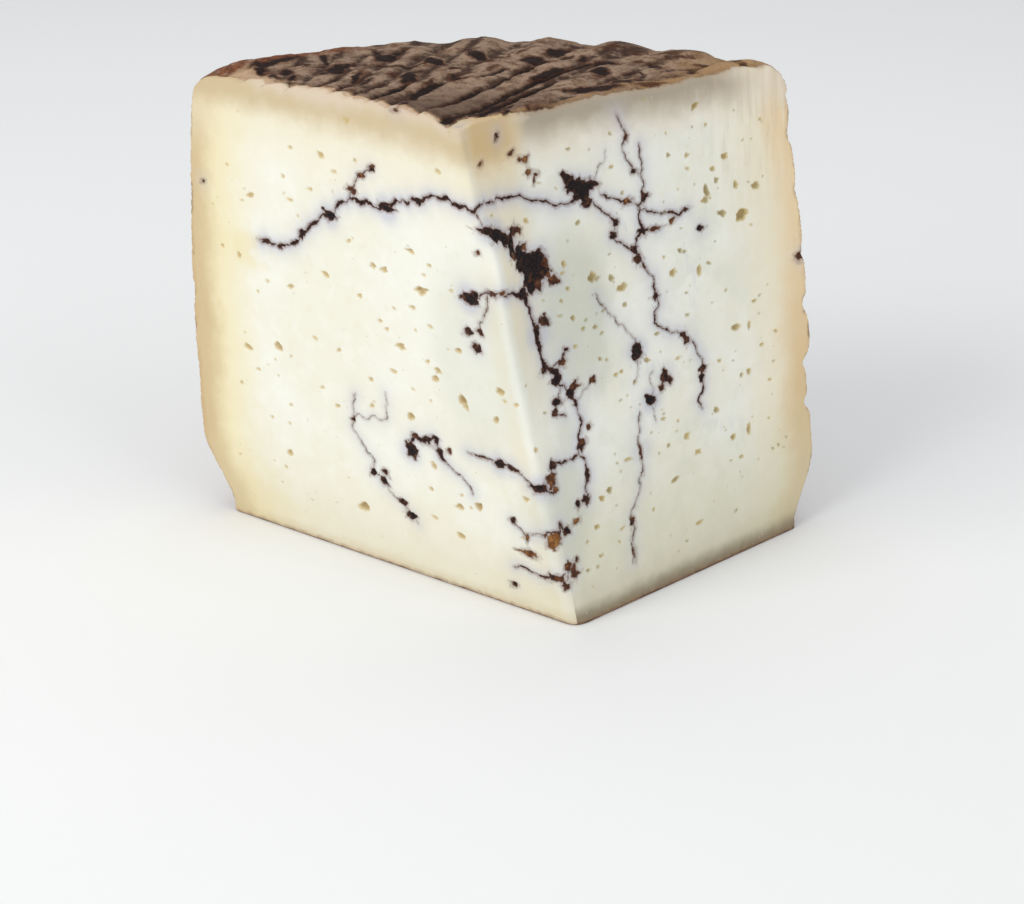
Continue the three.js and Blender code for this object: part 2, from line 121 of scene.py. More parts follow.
# Truffle pieces: face, distance, height, half width, half height, tone (1 near black)
LUMPS = [
    ("R", 14.9, 120.6, 0.9, 0.9, 1), ("R", 16, 119.1, 1.4, 1.4, 1), ("R", 17.6, 117.2, 2.2, 1.8, 1), ("R", 19.4, 115.9, 2.6, 2.2, 1),
    ("R", 21.5, 116, 2.4, 1.8, 1), ("R", 23.6, 116.2, 1.6, 1.2, 0.95), ("R", 25.3, 116.1, 0.9, 0.7, 0.8), ("R", 20.8, 114, 2.0, 2.2, 1),
    ("R", 21.5, 112.1, 1.5, 1.4, 0.7), ("R", 16.2, 117, 1.5, 0.9, 0.95), ("R", 18.5, 114.2, 1.2, 1.2, 0.8), ("C", 16.1, 100.3, 3.2, 3.5, 1),
    ("R", 2.9, 101.2, 2.2, 2.2, 0.95), ("C", 13.2, 104, 2.4, 2.2, 0.9), ("R", 0.8, 97.2, 2.6, 3.0, 1), ("R", 3.5, 97.1, 2.0, 2.4, 0.8),
    ("C", 14.6, 98.3, 2.2, 2.4, 1), ("C", 10.9, 101.4, 1.5, 1.5, 0.75), ("C", 14.9, 94.4, 1.8, 2.0, 0.9), ("R", 1.4, 94.9, 1.6, 2.0, 0.7),
    ("C", 9.5, 107, 1.6, 2.2, 0.9), ("C", 7.8, 109.2, 1.9, 1.7, 1), ("C", 5.2, 111.5, 2.2, 1.6, 1), ("C", 2.1, 112.8, 2.0, 1.1, 0.95),
    ("C", 12.7, 109.7, 1.5, 1.1, 0.6), ("C", 14.9, 109.8, 0.9, 0.8, 0.5), ("R", 4.9, 99, 1.2, 1.4, 0.3), ("C", 15.4, 104.9, 1.1, 1.0, 0.3),
    ("C", 10.1, 103.6, 0.9, 1.0, 0.3), ("R", 5.4, 96.2, 0.9, 1.0, 0.35), ("C", 10.5, 93.8, 1.7, 1.3, 0.9), ("L", 59.3, 104.7, 2.25, 1.53, 1),
    ("L", 72.7, 97.2, 1.2, 1.2, 0.9), ("L", 35.2, 111.7, 2.52, 1.17, 1), ("L", 22.1, 116, 1.26, 1.35, 1), ("L", 89.1, 91.2, 1.71, 0.72, 0.6),
    ("L", 83.9, 90.9, 1.0, 0.5, 0.6), ("L", 42.9, 118.8, 1.26, 0.74, 0.35), ("L", 47.5, 114.1, 1.3, 1.0, 0.5), ("L", 37.5, 121.8, 1.3, 1.0, 0.5),
    ("L", 11.7, 92.4, 2.61, 1.98, 1), ("L", 9.4, 93.9, 1.26, 1.44, 0.9), ("L", 14.8, 82.8, 1.35, 1.17, 0.7), ("L", 10.7, 83.5, 0.9, 0.9, 0.6),
    ("L", 13.3, 78.6, 1.35, 1.08, 0.8), ("C", 0.9, 96.3, 1.18, 0.52, 0.3), ("L", 2.9, 95.8, 1.18, 0.59, 0.4), ("L", 68.6, 43.6, 0.7, 0.7, 0.8),
    ("L", 65.3, 28.6, 1.3, 1.2, 0.7), ("L", 62.1, 27, 1.53, 1.17, 0.85), ("L", 60.8, 29.8, 1.0, 0.8, 0.6), ("L", 56.1, 22, 1.26, 1.17, 0.7),
    ("L", 53.4, 18.6, 1.26, 1.17, 0.8), ("L", 48.4, 39.4, 1.62, 1.98, 1), ("L", 37.9, 46.2, 1.26, 0.99, 0.9), ("L", 37.3, 42.5, 1.1, 1.0, 0.8),
    ("L", 41.6, 44.7, 1.44, 0.9, 0.8), ("L", 33.4, 43.7, 0.9, 0.9, 0.5), ("L", 15.7, 44.7, 1.89, 1.35, 1), ("L", 11.4, 44.7, 1.62, 0.99, 0.95),
    ("L", 3.2, 41, 1.62, 1.08, 0.9), ("L", 11.8, 24.1, 0.74, 1.04, 0.35), ("L", 15.8, 27.9, 0.9, 1.0, 0.7), ("R", -5.6, 25.7, 2.07, 1.63, 0.05),
    ("L", 13.3, 18.9, 2.22, 0.81, 0.2), ("L", 20.6, 7.4, 0.8, 0.6, 0.9), ("C", 6.3, 18.4, 0.7, 0.6, 0.7), ("L", 4.6, 106.3, 0.6, 0.5, 0.4),
    ("L", 23.4, 136.9, 1.26, 0.54, 0.5), ("L", 112.2, 103.7, 0.7, 0.4, 0.9), ("R", -0.8, 16.1, 0.99, 1.8, 0.5), ("L", 45.4, 44.8, 1.2, 0.9, 0.7),
    ("R", 28.7, 101.6, 1.53, 1.17, 0.95), ("R", 30.3, 104.7, 0.9, 1.0, 0.9), ("R", 36.7, 93.6, 1.35, 1.08, 0.8), ("R", 41.8, 82.3, 1.0, 0.9, 0.8),
    ("R", 50, 69.6, 1.26, 0.81, 0.8), ("R", 51.3, 67.8, 1.2, 1.0, 0.8), ("R", 56, 58.3, 1.1, 1.1, 0.8), ("R", 55.3, 55.3, 1.1, 1.1, 1),
    ("R", 35.8, 96.3, 1.2, 1.1, 0.8), ("R", 38.7, 117.3, 1.0, 0.6, 0.8), ("R", 37.3, 126.5, 0.7, 1.1, 0.6), ("R", 41.5, 109.9, 1.44, 1.08, 0.8),
    ("R", 34.9, 110, 1.18, 0.59, 0.4), ("R", 43.9, 100.6, 1.7, 0.67, 0.4), ("R", 39.4, 101, 1.2, 1.0, 0.9), ("R", 50.2, 101.4, 1.0, 0.7, 0.3),
    ("R", 56, 103.5, 0.9, 0.5, 0.5), ("R", 32.4, 69.4, 1.71, 2.16, 0.95), ("R", 35.3, 54.3, 2.07, 1.8, 0.95), ("R", 41.6, 59.5, 1.44, 1.8, 0.75),
    ("R", 43.5, 58.1, 0.9, 1.0, 0.7), ("R", 39.9, 56.5, 1.1, 0.9, 0.5), ("C", 28.9, 22.7, 0.9, 1.2, 0.6), ("R", 29.2, 41.3, 0.63, 2.16, 0.6),
    ("C", 26.8, 13.8, 0.37, 1.85, 0.4), ("C", 9.7, 93.6, 1.44, 1.17, 0.9), ("R", 7.2, 94.2, 1.53, 1.17, 0.7), ("R", 2.1, 84.4, 1.35, 1.26, 0.75),
    ("R", 6.3, 94.8, 0.89, 0.59, 0.3), ("C", 12.3, 81.8, 0.99, 2.88, 1), ("C", 12.2, 72.2, 1.44, 0.9, 0.9), ("R", 3.3, 68.1, 1.53, 1.62, 0.9),
    ("R", 8.2, 65.1, 1.53, 0.99, 0.5), ("R", 2.1, 62.5, 1.44, 1.17, 0.9), ("R", 1, 60, 1.1, 1.1, 0.7), ("R", 6.9, 63.7, 1.44, 1.26, 0.95),
    ("R", 6, 72.6, 1.1, 0.8, 0.5), ("R", 7.6, 75.4, 0.8, 0.6, 0.6), ("R", 14.8, 65.4, 1.1, 1.0, 0.6), ("R", 11.7, 53, 0.74, 0.89, 0.2),
    ("R", 8.4, 48.9, 1.3, 1.3, 0.8), ("C", 6.3, 46.5, 1.26, 1.17, 0.8), ("C", 4.9, 43, 1.63, 1.78, 0.35), ("C", 5, 39.6, 1.11, 0.81, 0.4),
    ("C", 0.2, 41.1, 2.16, 1.08, 0.95), ("R", 8.8, 40.8, 0.99, 1.35, 0.8), ("R", -1, 27.2, 1.2, 1.2, 0.9), ("R", -5.9, 24.6, 1.92, 1.48, 0.05),
    ("C", 9.4, 29.1, 1.18, 0.67, 0.15), ("R", 4, 33.7, 0.9, 0.9, 0.85), ("R", 7.2, 33.8, 1.1, 1.2, 0.7), ("L", 3.8, 13.8, 1.2, 0.8, 0.5),
    ("R", -2.6, 17.2, 1.1, 0.9, 0.4), ("R", -0.7, 14.7, 1.1, 1.0, 0.5), ("R", -3.6, 11.7, 1.1, 0.9, 0.5), ("L", 6, 13.6, 1.0, 0.8, 0.7),
    ("C", 15, 133.6, 1.05, 0.62, 1), ("R", 60.5, 97.5, 1.2, 1.0, 1), ("R", 98, 82, 1.62, 1.08, 0.5), ("C", 19.2, 128.5, 0.95, 0.6, 0.3),
    ("R", 2, 126.3, 0.9, 0.5, 0.3), ("R", 3.8, 126.1, 0.8, 0.9, 0.3), ("R", 4.4, 122.9, 0.7, 0.6, 0.35), ("R", 6.4, 121.9, 0.9, 0.5, 0.35),
    ("R", 5.7, 120.7, 0.5, 0.8, 0.4), ("C", 6.2, 128.6, 0.75, 0.55, 0.3),
]
# Eyes in the paste: face, distance, height, half width, half height
EYES = [
    ("R", 71.8, 115.5, 1.5, 1), ("R", 64.1, 107.4, 1.1, 2.2), ("R", 63.3, 104.7, 1.6, 0.9), ("R", 76.5, 98.4, 2.4, 1.8), ("R", 69.4, 99.9, 1.4, 1),
    ("R", 82.7, 105.4, 1.1, 1.2), ("R", 62.9, 130.5, 1.4, 0.9), ("R", 67.3, 112.9, 0.9, 0.8), ("R", 68.2, 109.4, 0.9, 0.8), ("R", 75.1, 106.9, 0.8, 1.2),
    ("R", 58.4, 86.3, 1, 1.8), ("R", 48.3, 87.3, 1.3, 1.1), ("R", 52.2, 92.8, 1, 0.7), ("R", 53.7, 92.2, 0.8, 0.6), ("R", 19.6, 92.3, 1.4, 1.7),
    ("R", 26.3, 90.7, 1.3, 1), ("R", 30, 87.3, 1.6, 1.1), ("R", 30.1, 82.5, 1, 0.8), ("R", 18.2, 79.2, 0.9, 0.8), ("R", 14.3, 79.7, 0.7, 0.6),
    ("R", 11.3, 83.2, 0.9, 0.8), ("R", 8.2, 88.5, 0.7, 0.5), ("R", 10.9, 97.8, 0.9, 1), ("R", 0.9, 111.1, 0.9, 0.7), ("R", 70.3, 67, 2, 1),
    ("R", 75.7, 66.4, 0.7, 1.4), ("R", 62.9, 58.7, 0.8, 0.6), ("R", 70.9, 52.5, 0.7, 0.9), ("R", 74.1, 52.7, 0.8, 1.2), ("R", 80.1, 59.5, 0.9, 0.6),
    ("R", 78.5, 72.7, 1.1, 0.6), ("R", 59.7, 45, 1.3, 0.9), ("R", 47.2, 40.5, 1.3, 0.9), ("R", 39.9, 39.9, 0.8, 0.8), ("R", 50.9, 34.8, 1.3, 0.7),
    ("C", 48, 29.5, 1.6, 0.8), ("R", 71.9, 36.1, 1, 2), ("R", 65.4, 35.1, 1.1, 1), ("C", 74.7, 28.6, 1.1, 0.6), ("C", 37.4, 23.4, 0.6, 0.6),
    ("C", 20.1, 32.3, 1, 1.2), ("R", 15.8, 33.8, 0.9, 1), ("C", 16, 25.1, 1, 0.7), ("R", 31.1, 119.7, 0.8, 0.5), ("R", 51.6, 119.3, 0.8, 0.7),
    ("R", 58.2, 118, 0.8, 0.7), ("R", 44.6, 134.7, 0.6, 0.5), ("R", 23.8, 64.6, 0.8, 0.6), ("R", 26, 64.8, 0.8, 0.7), ("R", 35.7, 65.6, 1.2, 0.8),
    ("R", 47.4, 63.4, 1.2, 0.5), ("R", 24.4, 40.3, 1.4, 0.6), ("R", 39.1, 47.9, 1, 0.6), ("R", 30.4, 60.9, 0.8, 0.5), ("C", 15, 16.6, 0.9, 0.5),
    ("C", 9.3, 14.1, 0.8, 0.6), ("C", 53.3, 14.1, 1.8, 0.6), ("C", 68.7, 13.2, 0.5, 0.6), ("R", 67.7, 78.2, 0.6, 0.5), ("R", 66.2, 125, 0.6, 0.5),
    ("R", 44.6, 45.9, 0.6, 0.5), ("R", 51.5, 125.2, 0.5, 0.5), ("R", 17.5, 107.4, 0.8, 0.8), ("L", 23.4, 61.2, 1.9, 1.7), ("L", 22.9, 59.2, 0.9, 1.2),
    ("L", 8.5, 67.4, 1.7, 1.1), ("L", 29.6, 90.6, 2.5, 1.2), ("L", 29.8, 101.2, 1.6, 0.8), ("L", 46.3, 93.6, 1.2, 0.9), ("L", 41.9, 93.4, 1.2, 0.9),
    ("L", 66.5, 86.6, 1.6, 0.8), ("L", 42.8, 71.6, 1.9, 1), ("L", 30.4, 67.9, 1.4, 0.9), ("L", 31.8, 65.2, 1.2, 1.2), ("L", 33.6, 69.5, 0.8, 0.7),
    ("L", 47.7, 63.2, 1.3, 0.7), ("L", 68.3, 64.2, 1, 0.6), ("L", 57.8, 58.3, 0.8, 0.7), ("L", 54.3, 83.2, 0.9, 0.8), ("L", 53.6, 99, 0.8, 0.6),
    ("L", 93.5, 59.6, 1.8, 1.3), ("L", 106.9, 56.1, 2.1, 0.9), ("L", 71.8, 16.4, 2, 1.5), ("L", 34.1, 26.8, 1.7, 1.1), ("L", 27.1, 28.8, 1.4, 1.5),
    ("L", 45.2, 50.6, 1.3, 1.2), ("L", 112.8, 43.9, 0.9, 0.7), ("L", 98.5, 25.8, 1.3, 0.9), ("L", 73.7, 46.4, 0.8, 0.7), ("L", 59.9, 50, 0.9, 0.8),
    ("L", 20.4, 76.1, 1.3, 0.9), ("L", 12.7, 58.4, 1, 1.3), ("L", 91.9, 103.6, 1.9, 0.9), ("L", 74.7, 105.8, 1.4, 0.5), ("L", 75.7, 112.2, 0.9, 0.6),
    ("L", 69.9, 121.2, 1.1, 0.6), ("L", 57.5, 121.6, 1.2, 0.8), ("L", 53.5, 117.8, 1.1, 0.5), ("L", 64.9, 110.7, 1, 0.6), ("L", 102.8, 84.2, 0.9, 0.9),
    ("L", 82.5, 79.6, 1.6, 0.7), ("L", 99.8, 110.8, 0.6, 0.5), ("L", 101.3, 20.5, 0.7, 0.5), ("L", 36.2, 17.2, 1.4, 1.2), ("L", 45.1, 20.3, 1.1, 0.6),
    ("L", 43.8, 29.3, 0.8, 0.7), ("L", 40.5, 37.1, 0.9, 1), ("L", 76.9, 65.8, 0.9, 0.5), ("L", 78.3, 50.9, 1, 0.5), ("L", 92, 79.1, 0.8, 0.5),
    ("L", 46.7, 75.5, 0.8, 0.6), ("L", 48.6, 77.5, 0.9, 0.6), ("L", 29.1, 80.5, 1, 0.6), ("L", 34.5, 84.6, 1.1, 0.6), ("L", 43.8, 131.7, 1.2, 0.6),
    ("L", 12.2, 125.6, 1, 0.6), ("L", 4.1, 64.8, 0.9, 0.7), ("L", 7.8, 64.9, 0.9, 0.6), ("L", 17.8, 93.2, 0.7, 0.5), ("L", 96.3, 101.3, 0.6, 0.4),
    ("L", 8.9, 36.3, 1.2, 0.8), ("L", 120.2, 19.7, 0.8, 0.4), ("L", 102.7, 35.8, 0.8, 0.5), ("L", 93.4, 41.8, 0.8, 0.5), ("C", 1.8, 52.1, 0.7, 1),
]

# Stains on the upper rind: middle x, y from the axis, half length, half width, heading, tone
STAINS = [
    (-61.4, 72.6, 9.9, 4.4, 58, 1), (-63.9, 62.0, 5.8, 1.6, 97, 1), (-59.7, 54.0, 4.5, 1.3, 97, 0.9), (-57.1, 59.6, 4.6, 2.2, 98, 1), (-54.1, 51.7, 4.5, 1.6, 97, 1),
    (-54.6, 44.0, 3.3, 1.6, 98, 0.8), (-53.1, 66.6, 2.5, 1.9, 173, 0.8), (-43.8, 60.8, 6.1, 2.8, 86, 1), (-47.0, 56.2, 2.3, 1.6, 100, 1), (-41.4, 65.4, 4.9, 1.6, 58, 1),
    (-31.0, 76.2, 6.6, 3.3, 80, 1), (-33.9, 82.3, 6.2, 1.1, 94, 1), (-35.4, 87.3, 1.9, 1.1, 96, 1), (-27.7, 82.3, 6.0, 1.4, 79, 0.9), (-37.2, 51.7, 7.2, 1.3, 82, 1),
    (-39.7, 36.4, 4.7, 1.2, 81, 1), (-37.8, 41.8, 4.0, 1.1, 80, 1), (-44.8, 40.7, 3.1, 1.1, 83, 0.7), (-38.4, 29.1, 1.3, 1.0, 103, 0.5), (-40.6, 30.1, 1.0, 0.8, 100, 0.5),
    (-29.8, 23.0, 3.5, 0.9, 89, 0.75), (-23.5, 51.7, 6.8, 2.4, 80, 1), (-27.7, 55.1, 1.8, 1.6, 105, 0.8), (-21.3, 58.5, 2.8, 1.5, 66, 0.8), (-23.1, 17.0, 4.0, 1.2, 76, 1),
    (-20.3, 23.0, 2.4, 0.9, 81, 0.9), (-17.2, 10.1, 1.9, 0.7, 93, 1), (-16.1, 14.0, 1.5, 0.7, 82, 0.5), (-17.1, 69.0, 4.6, 3.1, 113, 1), (-5.0, 77.4, 6.6, 2.6, 118, 1),
    (-11.1, 62.0, 2.4, 1.3, 29, 0.8), (-7.4, 56.2, 2.3, 1.1, 91, 0.9), (-10.8, 52.8, 4.4, 1.9, 70, 0.9), (-13.2, 0.6, 2.8, 1.7, 93, 0.85), (-10.4, 6.3, 3.9, 1.3, 76, 1),
    (14.8, 55.1, 9.9, 2.8, 60, 1), (10.9, 71.4, 5.2, 3.7, 132, 1), (16.9, 82.3, 6.5, 2.7, 57, 0.95), (24.3, 73.8, 3.6, 1.4, 88, 1), (29.7, 69.0, 4.0, 2.5, 160, 1),
    (28.4, 57.4, 4.9, 2.9, 97, 1), (43.8, 64.3, 5.0, 1.7, 106, 0.8), (49.9, 73.8, 3.8, 2.1, 32, 0.6), (54.3, 76.2, 1.9, 1.6, 65, 0.5), (33.9, 87.3, 1.7, 1.5, 9, 0.6),
    (40.2, 83.6, 1.9, 0.9, 126, 0.6), (29.5, 86.0, 1.3, 1.1, 77, 0.5), (25.0, 38.6, 9.2, 2.7, 13, 0.9), (33.2, 45.1, 5.1, 1.8, 34, 0.8), (28.6, 30.1, 2.2, 1.1, 68, 0.9),
    (34.8, 34.3, 1.6, 0.8, 60, 0.6), (12.9, 18.9, 4.7, 3.9, 156, 1), (2.7, 15.0, 2.1, 1.7, 148, 0.9), (19.3, 20.9, 2.7, 0.8, 84, 0.7), (53.8, 59.6, 4.0, 1.4, 103, 0.7),
    (49.2, 52.8, 3.0, 0.7, 59, 0.6), (52.2, 49.5, 2.2, 1.0, 47, 0.6), (41.2, 45.1, 4.6, 1.4, 22, 0.5), (62.2, 70.2, 2.0, 1.8, 130, 0.7), (65.5, 67.8, 2.4, 1.1, 83, 0.9),
    (68.0, 65.4, 2.3, 1.0, 109, 0.8), (70.0, 60.8, 3.3, 0.6, 80, 0.8), (72.8, 64.3, 2.0, 1.0, 95, 0.9), (57.9, 69.0, 2.8, 1.1, 1, 0.6), (3.9, 82.3, 6.3, 0.4, 78, 0.6),
    (-1.0, 62.0, 3.9, 0.8, 61, 0.5), (7.6, 83.6, 2.8, 0.9, 58, 0.6), (21.9, 88.6, 2.8, 0.9, 120, 0.5), (47.6, 79.8, 2.0, 1.5, 5, 0.6), (40.0, 70.2, 2.6, 1.3, 127, 0.5),
    (-17.4, 47.3, 4.5, 0.9, 74, 0.8),
]
# Dark lines in the furrows: width, tone, points x, y
DARK_LINES = [
    (1.3, 1, [-15.2,1.5, -13.2,1.5, -10.9,6.3, -8.5,10.1, -6.1,15.0, -3.6,18.9, -1.1,24.0, 1.4,29.1, 4.5,34.3]),
    (1.2, 0.9, [-3.5,13.0, 0.2,20.9, 2.7,25.0, 5.3,29.1, 9.2,35.4, 13.2,42.9, 16.0,47.3]),
    (1.1, 0.95, [1.4,30.1, 6.6,38.6, 10.6,47.3, 14.7,52.8, 20.9,63.1, 26.1,69.0]),
    (1, 0.6, [-15.7,17.0, -12.6,23.0, -10.2,27.0, -8.2,29.1]),
    (1.5, 1, [-8.2,29.1, -6.4,33.3, -1.3,40.7, 1.3,46.2, 5.3,55.1, 9.4,63.1, 13.6,70.2]),
    (1.7, 1, [-21.7,25.0, -20.0,34.3, -17.7,40.7, -14.7,46.2, -12.1,48.4]),
    (0.9, 0.8, [-12.1,48.4, -9.4,49.5, -4.1,51.7, -0.1,57.4, 3.4,62.0]),
    (1.7, 1, [-29.3,24.0, -27.3,33.3, -25.0,40.7, -23.1,45.1]),
    (1.2, 0.6, [-34.0,29.1, -32.7,37.5, -31.0,42.9, -28.6,47.3]),
    (1.2, 0.8, [-35.7,42.9, -34.4,47.3, -33.1,51.7]),
    (1, 0.7, [-45.0,39.7, -43.3,48.4, -42.3,51.7]),
    (1, 0.9, [-49.2,82.3, -48.1,76.2, -46.4,69.0]),
    (1, 0.9, [-33.3,67.8, -29.1,65.4, -23.6,65.4, -19.5,67.8]),
    (0.8, 0.7, [34.3,56.2, 37.5,59.6, 40.2,56.2, 38.8,49.5, 35.4,47.3]),
    (0.8, 0.7, [-4.2,9.1, -1.5,15.0, 1.5,18.0, 4.5,22.0]),
    (0.9, 0.8, [22.2,78.6, 17.9,73.8, 13.6,70.2]),
    (0.8, 0.6, [27.8,44.0, 34.9,52.8, 39.3,58.5]),
    (0.8, 0.55, [44.6,56.2, 50.5,63.1, 56.2,65.4, 60.7,69.0]),
    (0.8, 0.6, [-53.6,63.1, -49.7,65.4, -45.7,67.8]),
    (0.9, 0.6, [-25.4,22.0, -23.2,29.1, -21.7,36.4]),
]

# Where the rind is broken off at the front corner: a line in plan, paste in front of it
CHIP = np.array([(-13.2, -2.6), (-12.4, -0.8), (-10.9, 0.8), (-9.0, 5.3), (-6.1, 9.1), (-3.6, 9.6), (1.4, 12.7), (6.0, 16.6), (11.0, 21.0)])
# Tints of the paste: face, distance, height, half width, half height, strength, kind (0 yellower, 1 duller: painted
# shade over the cut's shallow waves, a little greener too, 2 bluish smear)
TINTS = [("L", 98, 87, 12, 6, .40, 0), ("L", 15, 74, 17, 32, .30, 1), ("C", 7, 33, 9, 17, .60, 1), ("R", 12, 84, 13, 24, .75, 1), ("R", 17, 72, 6, 13, .5, 1), ("R", 3, 46, 4, 14, .35, 1),
         ("R", 40, 62, 9, 3, .4, 2), ("R", 55, 84, 3, 10, .35, 2), ("R", 62, 40, 10, 2.5, .35, 2), ("R", 34, 104, 5, 2.5, .4, 2), ("R", 26, 33, 8, 3, .3, 2)]

# ---------------------------------------------------------------------------
# Small maths
# ---------------------------------------------------------------------------
def mix(a, b, t): return a + (b - a) * t
def smooth(a, b, x):
    t = np.clip((x - a) / (b - a), 0, 1)
    return t * t * (3 - 2 * t)
def bell(x): return np.exp(-x * x)
def head(deg): return np.stack([np.cos(np.radians(deg)), np.sin(np.radians(deg))], -1)

def lattice_noise(p, seed):
    """Smooth noise from -1 to 1 at points p (n, 2 or 3), one unit to a cell."""
    p = np.asarray(p, float)
    i = np.floor(p).astype(np.int64)
    f = p - i
    f = f * f * f * (f * (f * 6 - 15) + 10)
    out = np.zeros(len(p))
    dims = p.shape[1]
    for corner in range(1 << dims):
        h = np.full(len(p), seed * 7919 + 104729, np.uint64)
        w = np.ones(len(p))
        for d in range(dims):
            bit = corner >> d & 1
            c = (i[:, d] + bit + 100003).astype(np.uint64)
            h = (h ^ c) * np.uint64(0x9E3779B97F4A7C15)
            h ^= h >> np.uint64(29)
            w = w * (f[:, d] if bit else 1 - f[:, d])
        h = (h * np.uint64(0xBF58476D1CE4E5B9)) >> np.uint64(40)
        out += w * (h.astype(float) / float(1 << 23) - 1)
    return out

def fractal(p, size, seed, octaves=3, gain=0.5):
    total, amp, out = 0.0, 1.0, 0.0
    for k in range(octaves):
        out = out + amp * lattice_noise(np.asarray(p) / size * 2 ** k + 17.3 * k, seed + k)
        total += amp
        amp *= gain
    return out / total * 1.4

# ---------------------------------------------------------------------------
# The same surfaces as the solid's
# ---------------------------------------------------------------------------
def wheel_radius(z, deg):
    barrel = BELLY - BARREL * (z - BELLY_HEIGHT) ** 2
    tall = SHOULDER_HEIGHT + SHOULDER_SAG * smooth(80, 45, deg)
    up = np.clip((z - HEIGHT + tall) / tall, 0, 1)
    shoulder = SHOULDER * (1 - np.sqrt(np.clip(1 - up * up, 0, 1)))
    heel = HEEL * (1 - smooth(2, HEEL_HEIGHT, z))
    oval = FLATTENING * smooth(100, 40, deg) * smooth(6, 32, z) * smooth(138, 118, z)
    return barrel - shoulder - heel - oval

def back_relief(z, deg):
    strength = mix(0.28, 1, smooth(120, 45, deg))
    r = 0
    for k, (level, depth, half) in enumerate(GROOVES):
        wander = 1.6 * np.sin(np.radians(deg - 32) * 5 + k * 1.7) * smooth(32, 60, deg)
        broken = mix(1, 0.55 + 0.45 * np.cos(np.radians(deg - 32) * 15 + k * math.pi), smooth(34, 52, deg))
        r = r - depth * broken * bell((z - level - wander) / half)
    stake = 0.5 - 0.5 * np.cos(2 * math.pi * (deg - STAKE_FIRST) / STAKE_STEP)
    r = r + STAKE_DEPTH * (stake - 0.6) * smooth(8, 30, z) * smooth(34, 46, deg) * smooth(138, 128, deg)
    return r * strength * smooth(0, 8, z) * smooth(137, 130, z)

def back_radius(z, deg): return wheel_radius(z, deg) + back_relief(z, deg)

def strand_fields(x, y):
    dx, dy = x - STRAND_FAN[0], y - STRAND_FAN[1]
    across = np.clip((np.arctan2(dy, dx) - math.radians(STRAND_HEADING)) * 160, FURROWS[0], FURROWS[-1] - 1e-6)
    along = np.hypot(dx, dy)
    k = np.searchsorted(FURROWS, across, side="right")
    width = FURROWS[k] - FURROWS[k - 1]
    ridge = np.sin(math.pi * (across - FURROWS[k - 1]) / width) ** 0.7 * np.minimum(1, width / STRAND_WIDTH)
    over = 0.5 + 0.5 * np.sin(2 * math.pi * along / STRAND_LENGTH + k * math.pi + 0.6 * np.sin(k * 2.3))
    plain = bell((across + 6) / 22) * smooth(205, 150, along)
    return ridge, mix(0.5 + 0.5 * over, 0.85, plain)

def strand_relief(x, y):
    ridge, over = strand_fields(x, y)
    return STRAND_DEPTH * (ridge * over - 0.55)

def top_height(x, y):
    rho, deg = np.hypot(x, y), np.degrees(np.arctan2(y, x))
    dome = DOME * (1 - ((rho - 45) / 55) ** 2)
    nose = NOSE_DROP * bell(np.hypot(x - PEAK[0], y - PEAK[1]) / 6)
    l = head(LEFT_DEG[1])
    along, off = (x - PEAK[0]) * l[0] + (y - PEAK[1]) * l[1], (x - PEAK[0]) * l[1] - (y - PEAK[1]) * l[0]
    lean = (1 - smooth(45, 72, along)) * smooth(20, 0, off) - smooth(70, 100, along) * smooth(10, 0, off)
    lean = LEFT_LEAN * (lean + 0.3 * smooth(72, 95, along) * smooth(2, 8, off) * smooth(34, 16, off))
    stake = 0.5 - 0.5 * np.cos(2 * math.pi * (deg - STAKE_FIRST) / STAKE_STEP)
    scallop = (RIM_SCALLOP * stake - 0.6) * smooth(72, 92, rho) * smooth(24, 44, deg) * smooth(112, 98, deg)
    return HEIGHT + dome + lean - nose + scallop + strand_relief(x, y) * smooth(98, 88, rho)

def top_fine(x, y):
    """Fine relief of the upper rind on top of the strands, in mm."""
    p = np.stack([x, y], -1)
    n = 0.20 * fractal(p, 3.2, 11, 3) + 0.12 * fractal(p, 1.1, 15, 2)
    dx, dy = x - STRAND_FAN[0], y - STRAND_FAN[1]
    q = np.stack([np.arctan2(dy, dx) * 160 / 1.5, np.hypot(dx, dy) / 9], -1)
    n = n + 0.22 * fractal(q, 1.0, 19, 2)
    return n - 0.25

def path_distance(pts, p, signed=False):
    """Distance in plan from p to an open path; if signed, positive on its right."""
    best, side = np.full(len(p), 1e9), np.ones(len(p))
    for a, b in zip(pts[:-1], pts[1:]):
        e = b - a
        w = p - a
        t = np.clip((w @ e) / (e @ e), 0, 1)
        d = np.hypot(*(w - e * t[:, None]).T)
        turn = e[1] * w[:, 0] - e[0] * w[:, 1]
        side = np.where(d < best - 1e-9, np.where(turn >= 0, 1, -1), side)
        best = np.minimum(best, d)
    return best * side if signed else best

def chip_field(x, y):
    """Positive in front of the line along which the rind is broken off."""
    d = path_distance(CHIP, np.stack([x, y], -1), True)
    d = d + 0.5 * lattice_noise(np.stack([x, y], -1) / 1.7, 83) + 0.25 * lattice_noise(np.stack([x, y], -1) / 0.6, 84)
    return np.where((x > 9) | (y > 19) | (x < -14), -6.0, d)

def crease_field(x, y):
    """How far into a dark line of the upper rind a point is, 0 to 1."""
    p = np.stack([x, y], -1)
    p = p + 0.35 * np.stack([lattice_noise(p / 1.9, 85), lattice_noise(p / 1.9, 86)], -1)
    out = np.zeros(len(p))
    for width, strong, flat in DARK_LINES:
        pts = np.array(flat).reshape(-1, 2)
        near = np.where(((p > pts.min(0) - 4) & (p < pts.max(0) + 4)).all(1))[0]
        if not len(near): continue
        ends = np.minimum(np.hypot(*(p[near] - pts[0]).T), np.hypot(*(p[near] - pts[-1]).T))
        half = width * 0.62 * (0.45 + 0.55 * smooth(0, 3, ends)) * (1 + 0.5 * lattice_noise(p[near] / 2.4, 87))
        out[near] = np.maximum(out[near], strong * smooth(1.0, -0.35, path_distance(pts, p[near]) - half))
    return out

